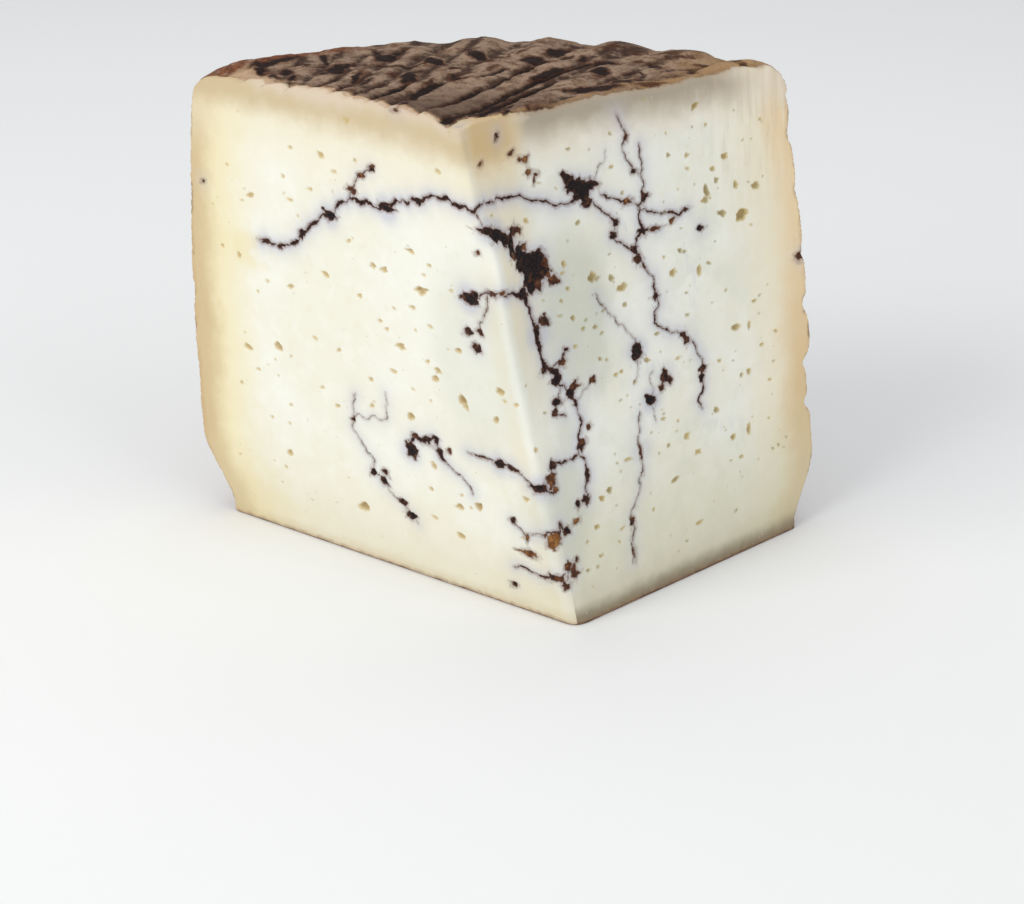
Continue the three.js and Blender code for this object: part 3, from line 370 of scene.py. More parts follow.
ZG = np.linspace(0, HEIGHT, 1381)
def leave(start, deg):
    d = head(deg)
    t = np.full(len(ZG), 100.0)
    for _ in range(12):
        p = start + d * t[:, None]
        r = back_radius(ZG, np.degrees(np.arctan2(p[:, 1], p[:, 0])))
        b = (start * d).sum(1)
        t = -b + np.sqrt(b * b - (start ** 2).sum(1) + r * r)
    return start + d * t[:, None]
TG = ZG / HEIGHT
def sway(z):
    """How far the front edge is set back along the left cut."""
    z = np.asarray(z, float)
    k = np.clip(np.searchsorted(EDGE_SWAY[:, 0], z), 1, len(EDGE_SWAY) - 1)
    a, b = EDGE_SWAY[k - 1], EDGE_SWAY[k]
    return mix(a[..., 1], b[..., 1], smooth(a[..., 0], b[..., 0], z))
NOSE_G = FOOT + (PEAK - FOOT) * TG[:, None] + head(mix(LEFT_DEG[0], LEFT_DEG[1], TG)) * sway(ZG)[:, None]
BEND_G = FACET_FOOT + (FACET_PEAK - FACET_FOOT) * TG[:, None]
LEFT_G = leave(NOSE_G, mix(LEFT_DEG[0], LEFT_DEG[1], TG))
RIGHT_G = leave(BEND_G, mix(RIGHT_DEG[0], RIGHT_DEG[1], TG))
def at_z(g, z): return np.stack([np.interp(z, ZG, g[:, 0]), np.interp(z, ZG, g[:, 1])], -1)
def length(v): return np.hypot(v[..., 0], v[..., 1])
def toward(a, b, reach):
    l = length(b - a)
    return a + (b - a) * (np.minimum(reach, 0.4 * l) / l)[..., None]

# The way round the wedge, counter-clockwise from the middle of the back:
# back, corner, left cut, front edge, facet, bend, right cut, corner, back
SEGS = np.array([105.0, 3.5, 119.0, 5.0, 17.0, 6.0, 96.0, 3.5, 105.0])
STOPS = np.concatenate([[0], np.cumsum(SEGS)])
ROUND = STOPS[-1]
BACK_IN = 0.012
RISE = 17.4                       # length of the shoulder's curve
LEVELS_TOP = HEIGHT - SHOULDER_HEIGHT + RISE

def curve3(a, c, b, t):
    t = t[:, None]
    return (1 - t) ** 2 * a + 2 * t * (1 - t) * c + t * t * b

def side_xy(s, z):
    """Plan position at way-round s and height z."""
    z = np.clip(z, 0, HEIGHT)
    nose, bend, left, right = (at_z(g, z) for g in (NOSE_G, BEND_G, LEFT_G, RIGHT_G))
    dl = np.degrees(np.arctan2(left[:, 1], left[:, 0]))
    dr = np.degrees(np.arctan2(right[:, 1], right[:, 0]))
    def back(f):
        deg = mix(dr, dl, f)
        return head(deg) * back_radius(z, deg)[:, None]
    reach_f = mix(1.6, FACET_ROUND, z / HEIGHT)
    k = np.clip(np.searchsorted(STOPS, s, side="right") - 1, 0, len(SEGS) - 1)
    t = (s - STOPS[k]) / SEGS[k]
    a1, b1 = toward(nose, left, EDGE_ROUND), toward(nose, bend, EDGE_ROUND)
    a2, b2 = toward(bend, nose, reach_f), toward(bend, right, reach_f)
    a3, b3 = toward(right, bend, RIM_ROUND), back(np.full(len(z), BACK_IN))
    a4, b4 = back(np.full(len(z), 1 - BACK_IN)), toward(left, nose, RIM_ROUND)
    t_ = t[:, None]
    options = [back(0.5 + t * (0.5 - BACK_IN)), curve3(a4, left, b4, t), b4 + (a1 - b4) * t_, curve3(a1, nose, b1, t),
               b1 + (a2 - b1) * t_, curve3(a2, bend, b2, t), b2 + (a3 - b2) * t_, curve3(a3, right, b3, t),
               back(BACK_IN + t * (0.5 - BACK_IN))]
    return np.choose(k[:, None], options)

def top_lift(x, y):
    """The upper face's height above its mean plane, with all its detail."""
    broken = smooth(-0.2, 0.9, chip_field(x, y))
    h = top_height(x, y) - HEIGHT + mix(top_fine(x, y), -0.2, broken)
    return h - 0.55 * crease_field(x, y) - 0.6 * broken

def on_side(s, l):
    """Plan position, plain height, and the lift that the uneven top gives it."""
    outer = np.minimum(np.abs(s - mix(STOPS[7], STOPS[8], .5)), np.abs(s - mix(STOPS[1], STOPS[2], .5)))
    on_back = (s < STOPS[2]) | (s > STOPS[7])
    w = np.where(on_back, 1.0, 1 - smooth(1.5, 16, outer))
    a = np.clip((l - (HEIGHT - SHOULDER_HEIGHT)) / RISE, 0, 1)
    zl = np.where(a > 0, HEIGHT - SHOULDER_HEIGHT + SHOULDER_HEIGHT * a, l)
    ze = np.where(a > 0, HEIGHT - SHOULDER_HEIGHT + SHOULDER_HEIGHT * np.sin(a * math.pi / 2), l)
    z0 = mix(zl, ze, w)
    turn = np.clip((z0 - (HEIGHT - TOP_BEVEL)) / TOP_BEVEL, 0, 1) * math.pi / 2
    z = np.where(turn > 0, HEIGHT - TOP_BEVEL + TOP_BEVEL * mix(np.sin(turn), turn / (math.pi / 2), w), z0)
    inset = 0.8 * TOP_BEVEL * mix(1 - np.cos(turn), turn / (math.pi / 2), w)
    xy = side_xy(s, z)
    middle = np.array([4.0, 52.0])
    d = middle - xy
    xy = xy + d * (inset / length(d))[:, None]
    rim = side_xy(s, np.full(len(s), HEIGHT))
    d = middle - rim
    rim = rim + d * (0.8 * TOP_BEVEL / length(d))[:, None]
    return xy, z, top_lift(rim[:, 0], rim[:, 1])

# ---------------------------------------------------------------------------
# Veins, truffle pieces and eyes laid on the cut faces
# ---------------------------------------------------------------------------
def way_round(face, u, z):
    """Way-round coordinate of a point given by its distance along a face."""
    z = np.array([float(z)])
    nose, bend, left, right = (at_z(g, z)[0] for g in (NOSE_G, BEND_G, LEFT_G, RIGHT_G))
    facet = length(bend - nose)
    reach = min(EDGE_ROUND, 0.4 * facet)
    reach_f = min(mix(1.6, FACET_ROUND, z[0] / HEIGHT), 0.4 * facet)
    if face == "L":
        u = u - float(sway(z)[0])
        if u < 0: face, u = "C", -u
    if face == "C" and u > facet: face, u = "R", u - facet
    if face == "R" and u < 0: face, u = "C", max(facet + u, 0.0)
    if face == "L":
        whole = length(left - nose) - EDGE_ROUND - RIM_ROUND
        if u < EDGE_ROUND: return STOPS[3] + SEGS[3] * 0.5 * (1 - u / EDGE_ROUND)
        return STOPS[3] - SEGS[2] * (u - EDGE_ROUND) / whole
    if face == "C":
        if u < reach: return STOPS[3] + SEGS[3] * (0.5 + 0.5 * u / reach)
        if u > facet - reach_f: return STOPS[5] + SEGS[5] * 0.5 * (1 - (facet - u) / reach_f)
        return STOPS[4] + SEGS[4] * (u - reach) / (facet - reach - reach_f)
    if u < reach_f: return STOPS[5] + SEGS[5] * (0.5 + 0.5 * u / reach_f)
    return STOPS[6] + SEGS[6] * (u - reach_f) / (length(right - bend) - reach_f - RIM_ROUND)

def to_xyz(sz):
    sz = np.asarray(sz, float)
    xy = side_xy(sz[:, 0], sz[:, 1])
    return np.column_stack([xy, sz[:, 1]])

def wander(path, seed):
    """A jagged path through the given points, with a point every 0.35 mm."""
    r = np.random.default_rng(seed)
    out = [path[0]]
    def part(a, b, depth):
        l = np.hypot(*(b - a))
        if l < 0.5 or depth > 7:
            out.append(b)
            return
        m = (a + b) / 2 + np.array([-(b - a)[1], (b - a)[0]]) * r.normal(0, 0.11)
        part(a, m, depth + 1)
        part(m, b, depth + 1)
    for a, b in zip(path[:-1], path[1:]):
        part(a, b, 0)
    return np.array(out)

veins = []
for n, (thick, dark, path) in enumerate(VEINS):
    face, pts, k = None, [], 0
    while k < len(path):
        if isinstance(path[k], str):
            face = path[k]; k += 1
        pts.append([way_round(face, path[k], path[k + 1]), path[k + 1]])
        k += 2
    sz = wander(np.array(pts, float), 100 + n)
    xyz = to_xyz(sz)
    run = np.concatenate([[0], np.cumsum(np.linalg.norm(np.diff(xyz, axis=0), axis=1))])
    n1 = lattice_noise(np.column_stack([run / 1.9, np.full(len(run), n * 3.7)]), 5)
    n2 = lattice_noise(np.column_stack([run / 0.7, np.full(len(run), n * 5.1)]), 6)
    body = np.clip(0.72 + 0.75 * n1 + 0.35 * n2 - 0.75 * (1 - dark), -0.35, 1.7)
    taper = np.minimum(1, (np.minimum(run, run[-1] - run) + 0.5) / 2.0)
    half = thick * 0.74 * body * taper
    veins.append({"sz": sz, "xyz": xyz, "half": half, "dark": dark, "thick": thick})

lumps = [{"c": to_xyz([[way_round(f, u, z), z]])[0], "s": way_round(f, u, z), "rx": rx, "rz": rz, "tone": t}
         for f, u, z, rx, rz, t in LUMPS]
eyes = [{"c": to_xyz([[way_round(f, u, z), z]])[0], "s": way_round(f, u, z), "rx": rx, "rz": rz}
        for f, u, z, rx, rz in EYES]
# small eyes between the ones above, a little denser on the right
er = np.random.default_rng(41)
for f, count, lo, hi in (("L", 46, 6, 112), ("R", 120, 3, 88), ("C", 8, 2, 18)):
    for _ in range(count):
        u, z = er.uniform(lo, hi), er.uniform(8, 128)
        r = 0.25 + 0.35 * er.random() ** 2
        if f == "C": z = er.uniform(60, 130)
        s = way_round(f, u, z)
        eyes.append({"c": to_xyz([[s, z]])[0], "s": s, "rx": r * er.uniform(1.0, 1.9), "rz": r})

def tangent(s, z):
    a = side_xy(np.array([s - 0.4]), np.array([z]))[0]
    b = side_xy(np.array([s + 0.4]), np.array([z]))[0]
    return (b - a) / length(b - a)

def vein_fields(p):
    """Nearness to the veins and truffle pieces, tone, and the bloom around them."""
    n = len(p)
    edge, tone, bloom, strong = np.full(n, 6.0), np.full(n, 0.8), np.zeros(n), np.ones(n)
    tn = 0.5 + 0.5 * fractal(p, 1.6, 31, 2)
    fine = fractal(p, 0.9, 33, 2)
    for v in veins:
        lo, hi = v["xyz"].min(0) - 8, v["xyz"].max(0) + 8
        near = np.where(((p > lo) & (p < hi)).all(1))[0]
        if not len(near): continue
        q = p[near]
        best_d, best_h = np.full(len(near), 99.0), np.zeros(len(near))
        best_e = np.full(len(near), 99.0)
        a, b = v["xyz"][:-1], v["xyz"][1:]
        for i in range(0, len(a), 8):       # eight pieces of the path at a time
            aa, bb = a[i:i + 8], b[i:i + 8]
            mid, rad = (aa[0] + bb[-1]) / 2, np.linalg.norm(bb[-1] - aa[0]) / 2 + 9
            sub = np.where(np.abs(q - mid).max(1) < rad)[0]
            if not len(sub): continue
            w = q[sub][:, None] - aa[None]
            e = (bb - aa)[None]
            t = np.clip((w * e).sum(2) / (e * e).sum(2), 0, 1)
            d = np.linalg.norm(w - e * t[..., None], axis=2)
            h = mix(v["half"][:-1][i:i + 8][None], v["half"][1:][i:i + 8][None], t)
            best_e[sub] = np.minimum(best_e[sub], (d - h).min(1))
            best_d[sub] = np.minimum(best_d[sub], d.min(1))
        better = best_e < edge[near]
        tone[near] = np.where(better, np.clip(0.25 + 0.6 * v["dark"] + 0.5 * (tn[near] - 0.5), 0, 1), tone[near])
        strong[near] = np.where(better, 0.40 + 0.60 * smooth(0.25, 0.8, v["dark"]), strong[near])
        edge[near] = np.minimum(edge[near], best_e)
        bloom[near] = np.maximum(bloom[near], v["dark"] ** 1.2 * (0.75 * np.exp(-(best_d / 2.0) ** 2) + 0.35 * np.exp(-(best_d / 4.6) ** 2)))
    for k, b in enumerate(lumps):
        r = max(b["rx"], b["rz"])
        near = np.where(np.abs(p - b["c"]).max(1) < r + 6)[0]
        if not len(near): continue
        d = p[near] - b["c"]
        tan = tangent(b["s"], b["c"][2])
        x, y = d[:, 0] * tan[0] + d[:, 1] * tan[1], d[:, 2]
        x = np.hypot(x, d[:, 1] * tan[0] - d[:, 0] * tan[1]) * np.where(x < 0, -1, 1)
        ang = np.arctan2(y / b["rz"], x / b["rx"])
        rr = np.hypot(x / b["rx"], y / b["rz"])
        wob = lattice_noise(np.column_stack([np.cos(ang) * 1.3 + k * 9.1, np.sin(ang) * 1.3]), 61) * 0.35 \
            + 0.28 * lattice_noise(d / 0.85 + k * 3.3, 62)
        e = (rr * (1 + wob) - 1) * min(b["rx"], b["rz"])
        better = e < edge[near]
        tone[near] = np.where(better, np.clip(b["tone"] + 0.55 * (tn[near] - 0.55) - 0.25 * (fine[near] > 0.35), 0, 1), tone[near])
        strong[near] = np.where(better, 1.0, strong[near])
        edge[near] = np.minimum(edge[near], e)
        far = np.hypot(x, y)
        bloom[near] = np.maximum(bloom[near], b["tone"] * min(1, r / 2) * (0.7 * np.exp(-(np.maximum(far - r, 0) / 1.8) ** 2) + 0.3 * np.exp(-(np.maximum(far - r, 0) / 4.0) ** 2)))
    return edge, tone, np.clip(bloom, 0, 1), strong

def eye_fields(p):
    n = len(p)
    edge, depth = np.full(n, 4.0), np.zeros(n)
    for k, b in enumerate(eyes):
        r = max(b["rx"], b["rz"])
        near = np.where(np.abs(p - b["c"]).max(1) < r + 2.5)[0]
        if not len(near): continue
        d = p[near] - b["c"]
        tan = tangent(b["s"], b["c"][2])
        x, y = d[:, 0] * tan[0] + d[:, 1] * tan[1], d[:, 2]
        x = np.hypot(x, d[:, 1] * tan[0] - d[:, 0] * tan[1]) * np.where(x < 0, -1, 1)
        lean = 0.25 * math.sin(k * 2.4)
        x, y = x + lean * y, y - lean * x
        ang = np.arctan2(y / b["rz"], x / b["rx"])
        rr = np.hypot(x / b["rx"], y / b["rz"])
        wob = lattice_noise(np.column_stack([np.cos(ang) * 1.6 + k * 5.7, np.sin(ang) * 1.6]), 71) * 0.38
        small = min(b["rx"], b["rz"])
        e = (rr * (1 + wob) - 1) * small
        edge[near] = np.minimum(edge[near], e)
        deep = (0.25 + 0.50 * small) * smooth(0.10, -0.55 * small, e)
        deep = deep * (1 + 0.25 * lattice_noise(d / 0.7 + k, 72))
        depth[near] = np.maximum(depth[near], deep)
    return edge, depth

# ---------------------------------------------------------------------------
# Meshing: points set closer where there is more to show, joined by triangles
# ---------------------------------------------------------------------------
def jittered(h, x0, x1, y0, y1, seed):
    r = np.random.default_rng(seed)
    nx, ny = int((x1 - x0) / h), int((y1 - y0) / (h * 0.9))
    gx, gy = np.meshgrid(np.arange(nx + 1), np.arange(ny + 1))
    x = x0 + (gx + 0.5 * (gy & 1)) * h
    y = y0 + gy * h * 0.9
    p = np.column_stack([x.ravel(), y.ravel()])
    return p + r.uniform(-0.16, 0.16, p.shape) * h

def nearest_feature(p3):
    """Rough distance to any vein, truffle piece or eye."""
    e = vein_fields(p3)[0]
    g, _ = eye_fields(p3)
    return np.minimum(np.abs(e), np.abs(g) * 0.8), e, g

def side_points():
    faces = (STOPS[2], STOPS[7])
    margin = 0.6
    # coarse everywhere, on the back coarser
    base = jittered(1.45, margin, ROUND - margin, margin, LEVELS_TOP - margin, 1)
    on_back = (base[:, 0] < faces[0] - 1) | (base[:, 0] > faces[1] + 1)
    coarse = base[~on_back]
    back = jittered(1.75, margin, ROUND - margin, margin, LEVELS_TOP - margin, 2)
    back = back[(back[:, 0] < faces[0] - 1) | (back[:, 0] > faces[1] + 1)]
    def want(p):
        xyz = to_xyz(np.column_stack([p[:, 0], np.clip(p[:, 1], 0, HEIGHT)]))
        d, e, g = nearest_feature(xyz)
        # the rounded front edge and the rims too
        ridge = np.minimum(np.abs(p[:, 0] - (STOPS[3] + 2.5)), np.minimum(np.abs(p[:, 0] - faces[0]), np.abs(p[:, 0] - faces[1])))
        d1 = np.minimum(d, np.where(ridge < 3, 1.0, 9))
        d1 = np.where(p[:, 1] > LEVELS_TOP - 5, np.minimum(d1, 1.0), d1)
        return d1, np.minimum(d, 9)
    d1, d2 = want(coarse)
    keep = [back, coarse[d1 > 2.2]]
    mid = jittered(0.78, faces[0] - 1, faces[1] + 1, margin, LEVELS_TOP - margin, 3)
    # only look at middle points that lie near a coarse point that wants them
    grid = {}
    cell = 1.6
    for x, y in np.floor(coarse[d1 < 3.4] / cell).astype(int): grid[(x, y)] = 1
    near = np.array([any((x + i, y + j) in grid for i in (-1, 0, 1) for j in (-1, 0, 1)) for x, y in np.floor(mid / cell).astype(int)])
    mid = mid[near]
    m1, m2 = want(mid)
    keep.append(mid[(m1 <= 2.2) & (m2 > 0.62)])
    fine = jittered(0.40, faces[0] - 1, faces[1] + 1, margin, LEVELS_TOP - margin, 4)
    grid = {}
    for x, y in np.floor(mid[m2 < 1.3] / 0.8).astype(int): grid[(x, y)] = 1
    near = np.array([any((x + i, y + j) in grid for i in (-1, 0, 1) for j in (-1, 0, 1)) for x, y in np.floor(fine / 0.8).astype(int)])
    fine = fine[near]
    f1, f2 = want(fine)
    fine = fine[f2 <= 0.62]
    # and points along the veins themselves
    line = np.concatenate([v["sz"] for v in veins])
    line = line[(line[:, 1] > 1) & (line[:, 1] < HEIGHT - 10)]
    taken = set()
    own = []
    for q in line:
        key = (int(q[0] / 0.3), int(q[1] / 0.3))
        if key in taken: continue
        taken.add(key)
        own.append(q)
    own = np.array(own)
    clear = np.array([not any((int(x / 0.3) + i, int(y / 0.3) + j) in taken for i in (0,) for j in (0,)) for x, y in fine])
    keep += [fine[clear], own]
    pts = np.concatenate(keep)
    return pts[(pts[:, 0] > margin) & (pts[:, 0] < ROUND - margin) & (pts[:, 1] > margin) & (pts[:, 1] < LEVELS_TOP - margin)]

def row(step_face, step_back):
    """Points along one rim, way round."""
    out = []
    for k, l in enumerate(SEGS):
        step = step_back if k in (0, 8) else step_face
        n = max(2, int(round(l / step)))
        out.append(STOPS[k] + l * np.arange(n) / n)
    return np.concatenate(out)[1:]          # the seam's own point is added by the seam

top_row, base_row = row(0.75, 1.5), row(1.5, 1.9)
seam = np.linspace(0, LEVELS_TOP, 76)
inner = side_points()
sheet = np.concatenate([
    np.column_stack([np.zeros(len(seam)), seam]), np.column_stack([np.full(len(seam), ROUND), seam]),
    np.column_stack([base_row, np.zeros(len(base_row))]), np.column_stack([top_row, np.full(len(top_row), LEVELS_TOP)]), inner])
n_seam, n_base, n_top = len(seam), len(base_row), len(top_row)

def triangles(points, outline=None):
    pts = [Vector((float(a), float(b))) for a, b in points]
    if outline is None:
        r = delaunay_2d_cdt(pts, [], [], 0, 1e-6)
    else:
        r = delaunay_2d_cdt(pts, [], [outline], 1, 1e-6)
    back = [o[0] for o in r[3]]
    return np.array([[back[i] for i in f] for f in r[2]])

side_tris = triangles(sheet)
sheet_index = np.arange(len(sheet))
sheet_index[n_seam:2 * n_seam] = np.arange(n_seam)       # the seam is one line
a, b, c = (sheet[side_tris[:, i]] for i in range(3))
area = (b[:, 0] - a[:, 0]) * (c[:, 1] - a[:, 1]) - (b[:, 1] - a[:, 1]) * (c[:, 0] - a[:, 0])
side_tris[area < 0] = side_tris[area < 0][:, ::-1]
side_tris = sheet_index[side_tris[np.abs(area) > 1e-9]]

xy, z_plain, lift = on_side(sheet[:, 0], sheet[:, 1])
side_plain = np.column_stack([xy, z_plain])
side_z = z_plain + lift * smooth(HEIGHT - 16, HEIGHT, z_plain)

# Ring of side points that a cap shares: the seam's end first, then its row
base_ring = np.concatenate([[0], 2 * n_seam + np.arange(n_base)])
top_ring = np.concatenate([[n_seam - 1], 2 * n_seam + n_base + np.arange(n_top)])

def inside(ring, p):
    c = np.zeros(len(p), bool)
    a, b = ring, np.roll(ring, 1, axis=0)
    for (xi, yi), (xj, yj) in zip(a, b):
        if yi == yj: continue
        c ^= ((yi > p[:, 1]) != (yj > p[:, 1])) & (p[:, 0] < (xj - xi) * (p[:, 1] - yi) / (yj - yi) + xi)
    return c

def clearance(ring, p, closed=True):
    best = np.full(len(p), 1e9)
    ends = zip(ring, np.roll(ring, -1, axis=0)) if closed else zip(ring[:-1], ring[1:])
    for a, b in ends:
        e = b - a
        t = np.clip(((p - a) @ e) / (e @ e + 1e-12), 0, 1)
        best = np.minimum(best, length(p - a - e * t[:, None]))
    return best

def cap(ring_ids, pitch, seed):
    ring = side_plain[ring_ids, :2]
    lo, hi = ring.min(0), ring.max(0)
    p = jittered(pitch, lo[0], hi[0], lo[1], hi[1], seed)
    p = p[inside(ring, p)]
    p = p[clearance(ring[::2] if len(ring) > 400 else ring, p) > 0.6 * pitch]
    tris = triangles(np.concatenate([ring, p]), list(range(len(ring))))
    return ring, p, tris

top_in = cap(top_ring, 0.86, 8)
base_in = cap(base_ring, 3.0, 9)

n_side = len(sheet)
base_first, top_first = n_side, n_side + len(base_in[1])
def cap_tris(part, ring_ids, first, up):
    ring, p, tris = part
    ids = np.concatenate([ring_ids, first + np.arange(len(p))])
    q = np.concatenate([ring, p])
    a, b, c = (q[tris[:, i]] for i in range(3))
    area = (b[:, 0] - a[:, 0]) * (c[:, 1] - a[:, 1]) - (b[:, 1] - a[:, 1]) * (c[:, 0] - a[:, 0])
    flip = (area > 0) != up
    tris = tris.copy()
    tris[flip] = tris[flip][:, ::-1]
    return ids[tris]

tris = np.concatenate([side_tris, cap_tris(base_in, base_ring, base_first, False), cap_tris(top_in, top_ring, top_first, True)])
bp, tp = base_in[1], top_in[1]
top_z = HEIGHT + top_lift(tp[:, 0], tp[:, 1])
pos = np.concatenate([np.column_stack([side_plain[:, :2], side_z]), np.column_stack([bp, np.zeros(len(bp))]), np.column_stack([tp, top_z])])
plain = np.concatenate([side_plain, np.column_stack([bp, np.zeros(len(bp))]), np.column_stack([tp, np.full(len(tp), HEIGHT)])])
where = np.concatenate([np.zeros(n_side), np.ones(len(bp)), np.full(len(tp), 2)])   # side, base, top
s_all = np.concatenate([sheet[:, 0], np.zeros(len(bp) + len(tp))])

# ---------------------------------------------------------------------------
# Fields over the whole surface
# ---------------------------------------------------------------------------
is_side, is_base, is_top = where == 0, where == 1, where == 2
cut_zone = is_side & (s_all > STOPS[1] + 1.5) & (s_all < STOPS[8] - 1.5)
on_cut = is_side & (s_all > STOPS[2] - 1.0) & (s_all < STOPS[7] + 1.0)
deg_all = np.degrees(np.arctan2(plain[:, 1], plain[:, 0]))
rho_all = length(plain[:, :2])

# distance inwards from the rind along a cut (negative outside it)
cut_rim = np.concatenate([side_xy(np.array([STOPS[2]]), np.array([HEIGHT])), at_z(LEFT_G, np.array([HEIGHT])) * 0 + side_xy(np.array([STOPS[3] + 2.5]), np.array([HEIGHT])),
                          side_xy(np.array([STOPS[5] + 3.0]), np.array([HEIGHT])), side_xy(np.array([STOPS[7]]), np.array([HEIGHT]))])
d_top = np.where(is_side, HEIGHT - plain[:, 2], 0.0)
d_top[is_top] = -clearance(cut_rim, plain[is_top, :2], closed=False)
chip = np.full(len(pos), -6.0)
high = is_top | (is_side & (plain[:, 2] > HEIGHT - 2.5) & on_cut)
chip[high] = chip_field(plain[high, 0], plain[high, 1])
d_top = np.where(high & (chip > -0.6), np.maximum(d_top, np.clip(2.2 * chip, -0.6, 3.0)), d_top)
crease = np.zeros(len(pos))
rimward = is_top | (is_side & (plain[:, 2] > HEIGHT - 5))
crease[rimward] = crease_field(plain[rimward, 0], plain[rimward, 1])
crease = crease * np.where(is_side, smooth(HEIGHT - 5, HEIGHT - 1, plain[:, 2]), 1)
d_side = wheel_radius(plain[:, 2], deg_all) - rho_all
outer_l, outer_r = STOPS[1] + 1.75, STOPS[7] + 1.75
d_side = np.where(is_side & (s_all < outer_l), -(outer_l - s_all) * 1.0, d_side)
d_side = np.where(is_side & (s_all > outer_r), -(s_all - outer_r) * 1.0, d_side)
d_side = np.where(is_top | is_base, 30.0, d_side)
d_base = np.where(is_side, plain[:, 2], np.where(is_top, 60.0, -6.0))
d_rind = np.minimum(np.minimum(d_top, d_side), d_base)

vein, tone, bloom, strong = np.full(len(pos), 6.0), np.full(len(pos), 0.8), np.zeros(len(pos)), np.ones(len(pos))
eye, pit = np.full(len(pos), 4.0), np.zeros(len(pos))
ids = np.where(on_cut)[0]
vein[ids], tone[ids], bloom[ids], strong[ids] = vein_fields(plain[ids])
eye[ids], pit[ids] = eye_fields(plain[ids])

# relief of the rind: -1 in a groove, 1 on a strand
relief = np.zeros(len(pos))
ridge, over = strand_fields(plain[:, 0], plain[:, 1])
relief_top = np.clip(2.2 * (ridge * over - 0.50) + 0.8 * top_fine(plain[:, 0], plain[:, 1]) + 0.2, -1, 1)
relief_side = np.clip(back_relief(plain[:, 2], deg_all) * 0.9 + 0.35, -1, 1)
top_ness = np.where(is_top, 1.0, 0.0)
top_ness = np.where(is_side, smooth(HEIGHT - 6, HEIGHT - 0.2, plain[:, 2]), top_ness)
relief = mix(relief_side, relief_top, top_ness)

stain, stain_tone = np.full(len(pos), -3.0), np.full(len(pos), 0.7)
upper = np.where(plain[:, 2] > HEIGHT - 12)[0]
q2 = plain[upper, :2]
warp = np.stack([lattice_noise(q2 / 2.6, 81), lattice_noise(q2 / 2.6, 82)], -1) * 0.9 + np.stack([lattice_noise(q2 / 0.95, 88), lattice_noise(q2 / 0.95, 89)], -1) * 0.35
q2 = q2 + warp
for k, (x, y, a, b, deg, t) in enumerate(STAINS):
    d = q2 - np.array([x, y])
    u = head(deg)
    p, q = (d @ u) / a, (d @ np.array([-u[1], u[0]])) / b
    e = (1 - np.hypot(p, q)) * math.sqrt(a * b)            # about millimetres inside the stain
    more = e > stain[upper]
    stain_tone[upper] = np.where(more, t, stain_tone[upper])
    stain[upper] = np.where(more, e, stain[upper])
# red-brown along the left-hand rim, tan beside it, ochre along the right-hand rim
left_x = plain[:, 0] + 66
rim_red = smooth(84, 97, rho_all) * smooth(108, 120, deg_all) * smooth(HEIGHT - 13, HEIGHT - 7, plain[:, 2])
rim_red = rim_red * np.where(is_top, smooth(94, 98, rho_all), 1)
tan_left = smooth(-46, -58, plain[:, 0]) * smooth(7, 2, np.where(is_top, -d_top, 0)) * (plain[:, 2] > HEIGHT - 6)
edge_d = np.where(is_top, -d_top, 0)
ochre_r = smooth(62, 38, deg_all) * smooth(70, 94, rho_all) * (plain[:, 2] > HEIGHT - 16)
ochre_w = np.interp(plain[:, 0], [-10, 0, 20, 40, 60, 75], [2.4, 2.6, 4.5, 7.5, 10, 10])
ochre_w = ochre_w * (1 + 0.35 * lattice_noise(plain[:, :2] / 5.0, 97))
ochre_e = np.where(is_top, smooth(1.0, 0.15, edge_d / ochre_w), np.where(on_cut, smooth(3, 0.3, HEIGHT - plain[:, 2]), 0))
rim_w = np.interp(plain[:, 0], [-80, -66, -60, -52, -44, -12], [11, 10, 7.5, 4.2, 2.8, 1.9])
rim_n = 0.16 * rim_w * lattice_noise(plain[:, :2] / 2.6, 94) + 0.8 * lattice_noise(plain[:, :2] / 1.9, 96)
rim_in = smooth(1.0, 0.3, (edge_d + rim_n) / rim_w) * is_top * (plain[:, 0] < -12)
rim_in = np.maximum(rim_in, on_cut * (s_all < STOPS[3]) * smooth(HEIGHT - 2, HEIGHT - 0.3, plain[:, 2]))
ochre_e = ochre_e * (0.45 + 0.55 * smooth(-0.3, 0.5, lattice_noise(plain[:, :2] / 7.0, 90)))
front = smooth(52, 20, np.hypot(plain[:, 0] + 8, plain[:, 1] + 3)) * (plain[:, 2] > HEIGHT - 12)
right_hand = np.where(is_side, (s_all > STOPS[4] + 2), plain[:, 0] > (plain[:, 1] - 16.8) * 1.0 + 6).astype(float)
facet = smooth(STOPS[3] + 3.0, STOPS[4] + 3, s_all) * smooth(STOPS[5] + 7, STOPS[5] + 1, s_all) * is_side
facet = np.maximum(facet, is_top * (chip > -1.5) * smooth(-9, -4, plain[:, 0]) * smooth(9, 4, plain[:, 0]))
# the strip of rind paste just under the left-hand rim, thick and thin by turns
along_l = np.where(is_side, STOPS[3] - s_all, 0)
strip_t = np.interp(along_l, [0, 8, 16, 28, 36, 44, 54, 62, 72, 90, 104], [2.6, 2.4, 2.0, 1.5, 2.4, 3.2, 4.2, 4.2, 3.2, 2.6, 0.2])
sz2 = np.column_stack([s_all, plain[:, 2]])
strip = smooth(2.2, -2.0, d_top - strip_t + 0.5 * lattice_noise(sz2 / 3.3, 92) + 0.25 * lattice_noise(sz2 / 1.1, 93))
strip = strip * smooth(STOPS[3] + 4, STOPS[3] + 1, s_all) * smooth(106, 97, along_l) * is_side
strip = np.where(chip > 0, 0.5 * smooth(0, 0.5, chip) * (1 - 0.7 * facet), strip)
# on the right cut a faint pale line just under the rind: painted highlight along the top edge
strip = np.maximum(strip, 0.22 * is_side * smooth(STOPS[6] + 6, STOPS[6] + 20, s_all) * smooth(STOPS[7] - 8, STOPS[7] - 30, s_all) * smooth(2.0, 0.6, d_top))
nose_s = s_all - (STOPS[3] + 2.5)
